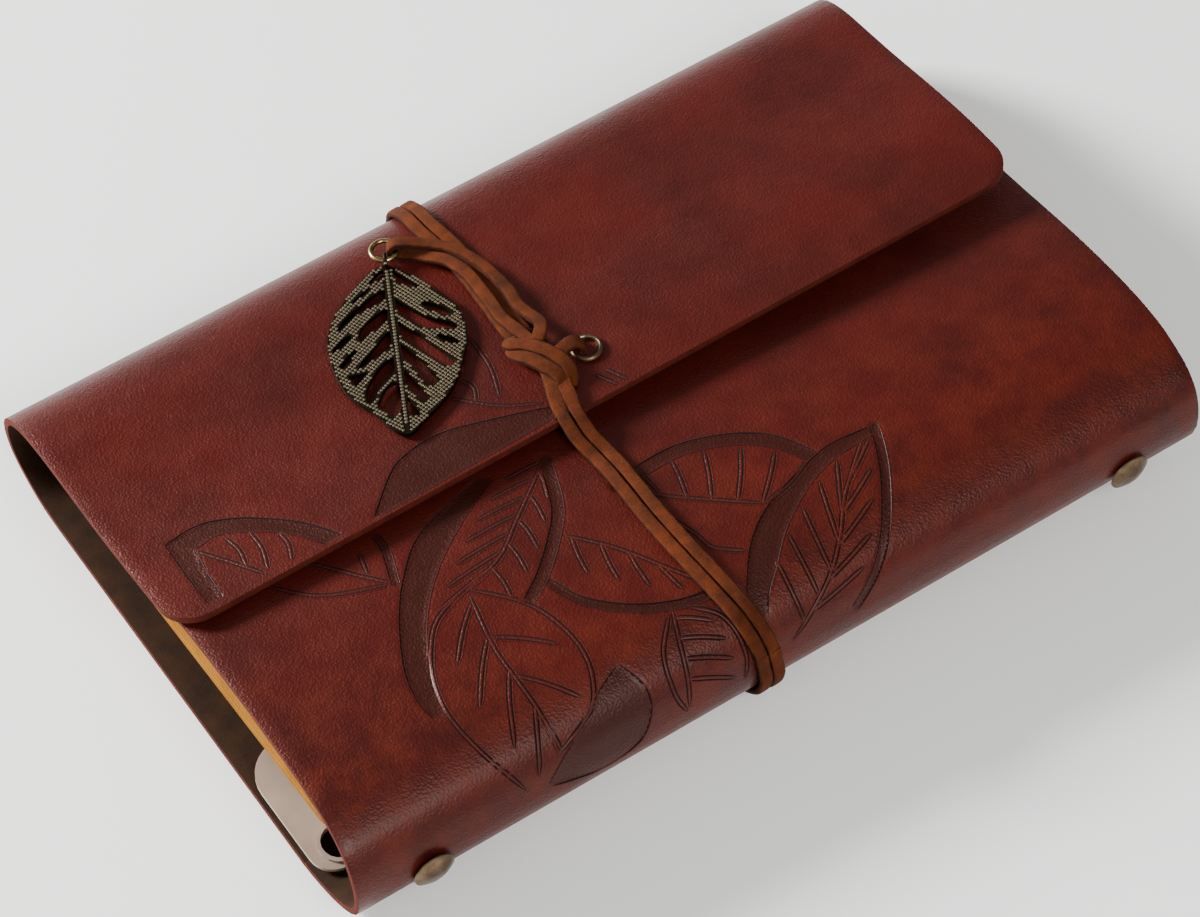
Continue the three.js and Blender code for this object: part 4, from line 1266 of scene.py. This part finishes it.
    def build_rivets(self) -> None:
        """Domed rivets through the spine, with a rim and a closed inner end."""
        for end in ("near", "far"):
            low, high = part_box(f"rivet_{end}")
            radius = (high.x - low.x) / 2 / MM
            reach = (high.y - low.y) / MM
            profile = [(0, reach), (1.2, reach), (1.5, reach - 0.3), (1.5, 1.5), (radius - 0.25, 1.5),
                       (radius, 1.3), (radius - 0.06, 1.06), (radius - 0.5, 0.86), (radius * 0.72, 0.45),
                       (radius * 0.45, 0.16), (radius * 0.2, 0.03), (0, 0)]
            shape = turned(profile, 48)
            turn = Matrix.Rotation(-math.pi / 2 + self.lean, 4, "X")
            outward = Vector((0, -math.cos(self.lean), -math.sin(self.lean)))
            start = (low + high) / 2 + outward * (reach / 2) * MM
            matrix = Matrix.Translation(start) @ turn
            bmesh.ops.transform(shape, matrix=matrix, verts=shape.verts)
            piece = new_piece(f"domed_rivet_{end}", shape, self.finishes["rivet"])
            self.fix(piece, Body.BINDING, "antique_brass", f"rivet_{end}")

    def leaf_frame(self) -> Matrix:
        """The leaf's own axes in the album: X across, Y from loop to tip, Z up."""
        axis = Vector(self.leaf_axis).normalized()
        across = axis.cross(Vector(self.flap_normal).normalized()).normalized()
        up = across.cross(axis)
        frame = Matrix((across, axis, up)).transposed().to_4x4()
        frame.translation = Vector(self.ring_at) * MM
        return frame

    def build_ring(self) -> None:
        """The round jump ring that the lace and the leaf hang on."""
        shape = bmesh.new()
        bmesh.ops.create_circle(shape, segments=14, radius=self.ring_wire * MM)
        bmesh.ops.rotate(shape, verts=shape.verts, matrix=Matrix.Rotation(math.pi / 2, 3, "X"))
        bmesh.ops.translate(shape, verts=shape.verts, vec=(self.ring_radius * MM, 0, 0))
        full_turn(shape, [*shape.verts, *shape.edges], (0, 0, 1), 44)
        bmesh.ops.recalc_face_normals(shape, faces=shape.faces)
        bmesh.ops.transform(shape, matrix=self.leaf_frame(), verts=shape.verts)
        piece = new_piece("round_jump_ring", shape, self.finishes["brass"])
        self.fix(piece, Body.FLAP, "antique_brass", "jump_ring")

    def build_leaf(self) -> bpy.types.Object:
        """The pierced leaf with the loop that links it to the jump ring."""
        loops = [
            [tuple(p) for p in spline([*loop, loop[0]], 1 + 4 * len(loop))[:-1]]
            for loop in (self.leaf_outline, *self.leaf_openings)
        ]
        shape = bmesh.new()
        mesh = cut_sheet(loops, self.plate)
        mesh.transform(Matrix.Translation((0, 0, -self.plate_drop * MM)))
        shape.from_mesh(mesh)
        bpy.data.meshes.remove(mesh)
        loop = bmesh.new()
        bmesh.ops.create_circle(loop, segments=10, radius=self.loop_wire * MM)
        bmesh.ops.translate(loop, verts=loop.verts, vec=(0, self.loop_radius * MM, 0))
        full_turn(loop, [*loop.verts, *loop.edges], (1, 0, 0), 24)
        bmesh.ops.recalc_face_normals(loop, faces=loop.faces)
        add_to(shape, loop)
        frame = self.leaf_frame() @ Matrix.Translation((0, self.ring_radius * MM, 0))
        bmesh.ops.transform(shape, matrix=frame, verts=shape.verts)
        piece = new_piece("pierced_leaf", shape, self.finishes["bronze"])
        self.fix(piece, Body.CHARM, "leaf_bronze", "leaf_charm")
        return piece

    def build_beads(self, plate: bpy.types.Object) -> None:
        """Covers the pierced leaf with rows of beads that follow its veins.

        Args:
            plate: the leaf itself, at rest.
        """
        pitch, reach = self.bead_pitch, self.bead_reach
        frame = self.leaf_frame() @ Matrix.Translation((0, self.ring_radius * MM, 0))
        up = frame.to_3x3() @ Vector((0, 0, 1))
        graph = bpy.context.evaluated_depsgraph_get()
        tree = BVHTree.FromObject(plate, graph)
        to_plate = plate.matrix_world.inverted()

        def solid(x: float, y: float) -> float | None:
            """Height of the plate under a place of the leaf, if there is any."""
            start = frame @ Vector((x * MM, y * MM, 6 * MM))
            hit = tree.ray_cast(to_plate @ start, to_plate.to_3x3() @ -up)
            return None if hit[0] is None or hit[3] > 9 * MM else 6 - hit[3] / MM

        places = [(0.0, 1.4 + self.rib_pitch * i, self.rib_bead) for i in range(int(39.5 / self.rib_pitch))]
        slope = self.bead_slope
        for side in (-1, 1):
            along = Vector((side * math.cos(slope), math.sin(slope)))
            beside = Vector((-side * math.sin(slope), math.cos(slope)))
            for i in range(-60, 60):
                for j in range(-60, 80):
                    spot = along * (i * pitch) + beside * (j * pitch)
                    if side * spot.x < 0.75 or side * spot.x > 14 or not 0 < spot.y < 43:
                        continue
                    steps = ((reach, 0), (-reach, 0), (0, reach), (0, -reach))
                    near = [(spot.x + dx, spot.y + dy) for dx, dy in steps]
                    if all(solid(*p) is not None for p in near):
                        places.append((spot.x, spot.y, self.bead))
        shape = bmesh.new()
        for x, y, radius in places:
            height = solid(x, y)
            if height is None:
                continue
            bmesh.ops.create_icosphere(
                shape, subdivisions=1, radius=radius * MM,
                matrix=frame @ Matrix.Translation((x * MM, y * MM, height * MM)) @ Matrix.Diagonal((1, 1, 0.7, 1)),
            )
        piece = new_piece("leaf_beads", shape, self.finishes["bead"])
        self.fix(piece, Body.CHARM, "leaf_bronze")
        log.info("charm: %d beads", len(places))

    def build(self) -> None:
        """Makes every fitting."""
        self.build_eyelet()
        self.build_rivets()
        self.build_ring()
        self.build_beads(self.build_leaf())


# ------------------------------------------------------------------ contents


@dataclass
class Leaves:
    """The two bundles of kraft leaves, each leaf a punched sheet of its own."""

    finishes: dict[str, bpy.types.Material]
    count: int = 26
    ring_centre: Pair = (-45.02, 13.53)
    ring_radius: float = 9.0
    hole_radius: float = 3.0
    paper_share: float = 0.74  # of the pitch from leaf to leaf
    end_gap: float = 0.4

    def leaf(
        self, shape: bmesh.types.BMesh, low: Pair, high: Pair, ends: Pair, thickness: float, seed: int
    ) -> None:
        """Adds one leaf, a thin slab with rounded corners and a hole for each ring.

        Args:
            shape: the bundle's bmesh.
            low: (y, z) of its spine edge.
            high: (y, z) of its fore edge.
            ends: its lowest and highest x.
            thickness: of the leaf.
            seed: picks its small misplacement.
        """
        rng = random.Random(seed)
        slide, short = rng.uniform(-0.3, 0.3), rng.uniform(-0.5, 0)
        run = Vector(high) - Vector(low)
        away = Vector(low) - Vector(self.ring_centre)
        toward = away.dot(run.normalized())
        to_hole = -toward + math.sqrt(toward**2 - away.length_squared + self.ring_radius**2)
        (x0, x1), y1 = ends, run.length + short
        arcs = []
        for x, y, radius, start in ((x0, 0, 2, 180), (x1, 0, 2, 270), (x1, y1, 4, 0), (x0, y1, 4, 90)):
            middle = (x + math.copysign(radius, -x), y + (radius if y == 0 else -radius))
            arcs.extend((middle, radius, start + 90 * k / 5) for k in range(6))
        holes = [
            [((x, to_hole), self.hole_radius, 360 * k / 14) for k in range(14)] for x in self.ring_places()
        ]
        loops = [
            [
                (cx + slide + radius * math.cos(math.radians(turn)), cy + radius * math.sin(math.radians(turn)))
                for (cx, cy), radius, turn in outline
            ]
            for outline in (arcs, *holes)
        ]
        mesh = cut_sheet(loops, thickness)
        place = Matrix.Translation((0, low[0] * MM, low[1] * MM)) @ Matrix.Rotation(math.atan2(run.y, run.x), 4, "X")
        mesh.transform(place)
        shape.from_mesh(mesh)
        bpy.data.meshes.remove(mesh)

    def ring_places(self) -> list[float]:
        """Where the six rings stand along the spine."""
        boxes = [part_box(f"upper_half_ring_{k}") for k in range(1, 7)]
        return [(low.x + high.x) / 2 / MM for low, high in boxes]

    def bundle(self, name: str, node: str, body: Body, corners: list[Pair]) -> None:
        """Makes a bundle between its lowest and highest leaf.

        Args:
            name: the piece's name.
            node: the CAD node it stands for.
            body: what it rides on.
            corners: (y, z) of the lowest leaf's ends, then of the highest one's.
        """
        low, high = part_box(node)
        shape = bmesh.new()
        a, b, c, d = (np.array(p) for p in corners)
        gap = float(np.linalg.norm(d - a)) / self.count
        for i in range(self.count):
            t = (i + 0.5) / self.count
            spine_edge, fore_edge = a + (d - a) * t, b + (c - b) * t
            ends = (low.x / MM + self.end_gap, high.x / MM - self.end_gap)
            thickness = gap * self.paper_share
            self.leaf(shape, tuple(spine_edge), tuple(fore_edge), ends, thickness, i * 31 + len(name))
        piece = new_piece(name, shape, self.finishes["kraft"])
        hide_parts(node)
        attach(piece, body.value)

    def build(self) -> None:
        """Makes both bundles."""
        self.bundle("lower_kraft_leaves", "lower_pages", Body.BINDING,
                    [(-42.8, 9.9), (52.8, 3.7), (53.0, 8.8), (-42.3, 15.2)])
        self.bundle("upper_kraft_leaves", "upper_pages", Body.UPPER_LEAVES,
                    [(-42.4, 15.6), (53.0, 9.2), (50.4, 14.3), (-46.0, 20.8)])
        log.info("leaves: %d", 2 * self.count)


# How each carried-over node's name starts, and its finish.
CARRIED = {
    "ring_housing": "nickel",
    "upper_blade": "nickel",
    "lower_blade": "nickel",
    "upper_half_ring": "nickel",
    "lower_half_ring": "nickel",
    "rivet_spacer": "nickel",
    "rivet_burr": "brass",
    "eyelet_washer": "brass",
    "page_lifter": "plastic",
}


def dress_cad(frame: dict, finishes: dict[str, bpy.types.Material]) -> None:
    """Gives the carried-over CAD nodes their finishes."""
    for name, node in frame["nodes"].items():
        for start, finish in CARRIED.items():
            if name.startswith(start):
                node.data.materials.clear()
                node.data.materials.append(finishes[finish])


# --------------------------------------------------------------------- studio


@dataclass
class Studio:
    """A pale floor, soft lights and the camera."""

    eye: Point = (-0.28132, -0.41746, 0.71667)
    right: Point = (0.8301, -0.5576, 0.0)
    up: Point = (0.4554, 0.6781, 0.5769)
    back: Point = (-0.3217, -0.4789, 0.8168)
    lens: float = 138.7

    def build_camera(self) -> None:
        """Adds the camera and makes it the scene's."""
        data = bpy.data.cameras.new("camera")
        data.lens = self.lens
        data.sensor_width = 36
        data.clip_start = 0.01
        camera = bpy.data.objects.new("camera", data)
        matrix = Matrix((self.right, self.up, self.back)).transposed().to_4x4()
        matrix.translation = self.eye
        camera.matrix_world = matrix
        bpy.context.scene.collection.objects.link(camera)
        bpy.context.scene.camera = camera

    def build_floor(self) -> None:
        """Adds a wide matt floor just under the album."""
        material, tree = blank("pale_paper_floor")
        shader = add_node(tree, "BsdfPrincipled", {"Base Color": linear("f4f3f1"), "Roughness": 0.9})
        add_node(tree, "OutputMaterial", {"Surface": shader.outputs[0]})
        shape = bmesh.new()
        bmesh.ops.create_grid(shape, x_segments=1, y_segments=1, size=4)
        bmesh.ops.translate(shape, verts=shape.verts, vec=(0, 0, -0.00008))
        new_piece("floor", shape, material)

    def light(self, name: str, at: Point, size: float, power: float) -> None:
        """Adds a square soft white light that points at the album."""
        data = bpy.data.lights.new(name, "AREA")
        data.size = size
        data.energy = power
        lamp = bpy.data.objects.new(name, data)
        lamp.location = at
        lamp.rotation_euler = (Vector((0, 0, 0.015)) - Vector(at)).to_track_quat("-Z", "Y").to_euler()
        bpy.context.scene.collection.objects.link(lamp)

    def build(self) -> None:
        """Sets the studio up."""
        self.build_camera()
        self.build_floor()
        self.light("key", (-0.8, 1.02, 0.56), 0.34, 74)
        self.light("fill", (-0.05, -0.75, 0.8), 0.4, 10)
        self.light("side", (-1.0, -0.3, 0.7), 0.7, 2.5)
        world = bpy.data.worlds.new("studio")
        world.use_nodes = True
        world.node_tree.nodes["Background"].inputs["Color"].default_value = linear("ffffff")
        world.node_tree.nodes["Background"].inputs["Strength"].default_value = 0.32
        bpy.context.scene.world = world


def main() -> None:
    """Builds the album round the frame."""
    logging.basicConfig(level=logging.INFO, format="%(name)s: %(message)s")
    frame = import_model()
    Studio().build()
    finishes = make_finishes()
    Lace(finishes).build()
    wrap = Wrap()
    Cover(wrap, finishes).build(front_design(wrap), flap_design(wrap))
    Fittings(finishes).build()
    Leaves(finishes).build()
    dress_cad(frame, finishes)


if __name__ == "__main__":
    main()
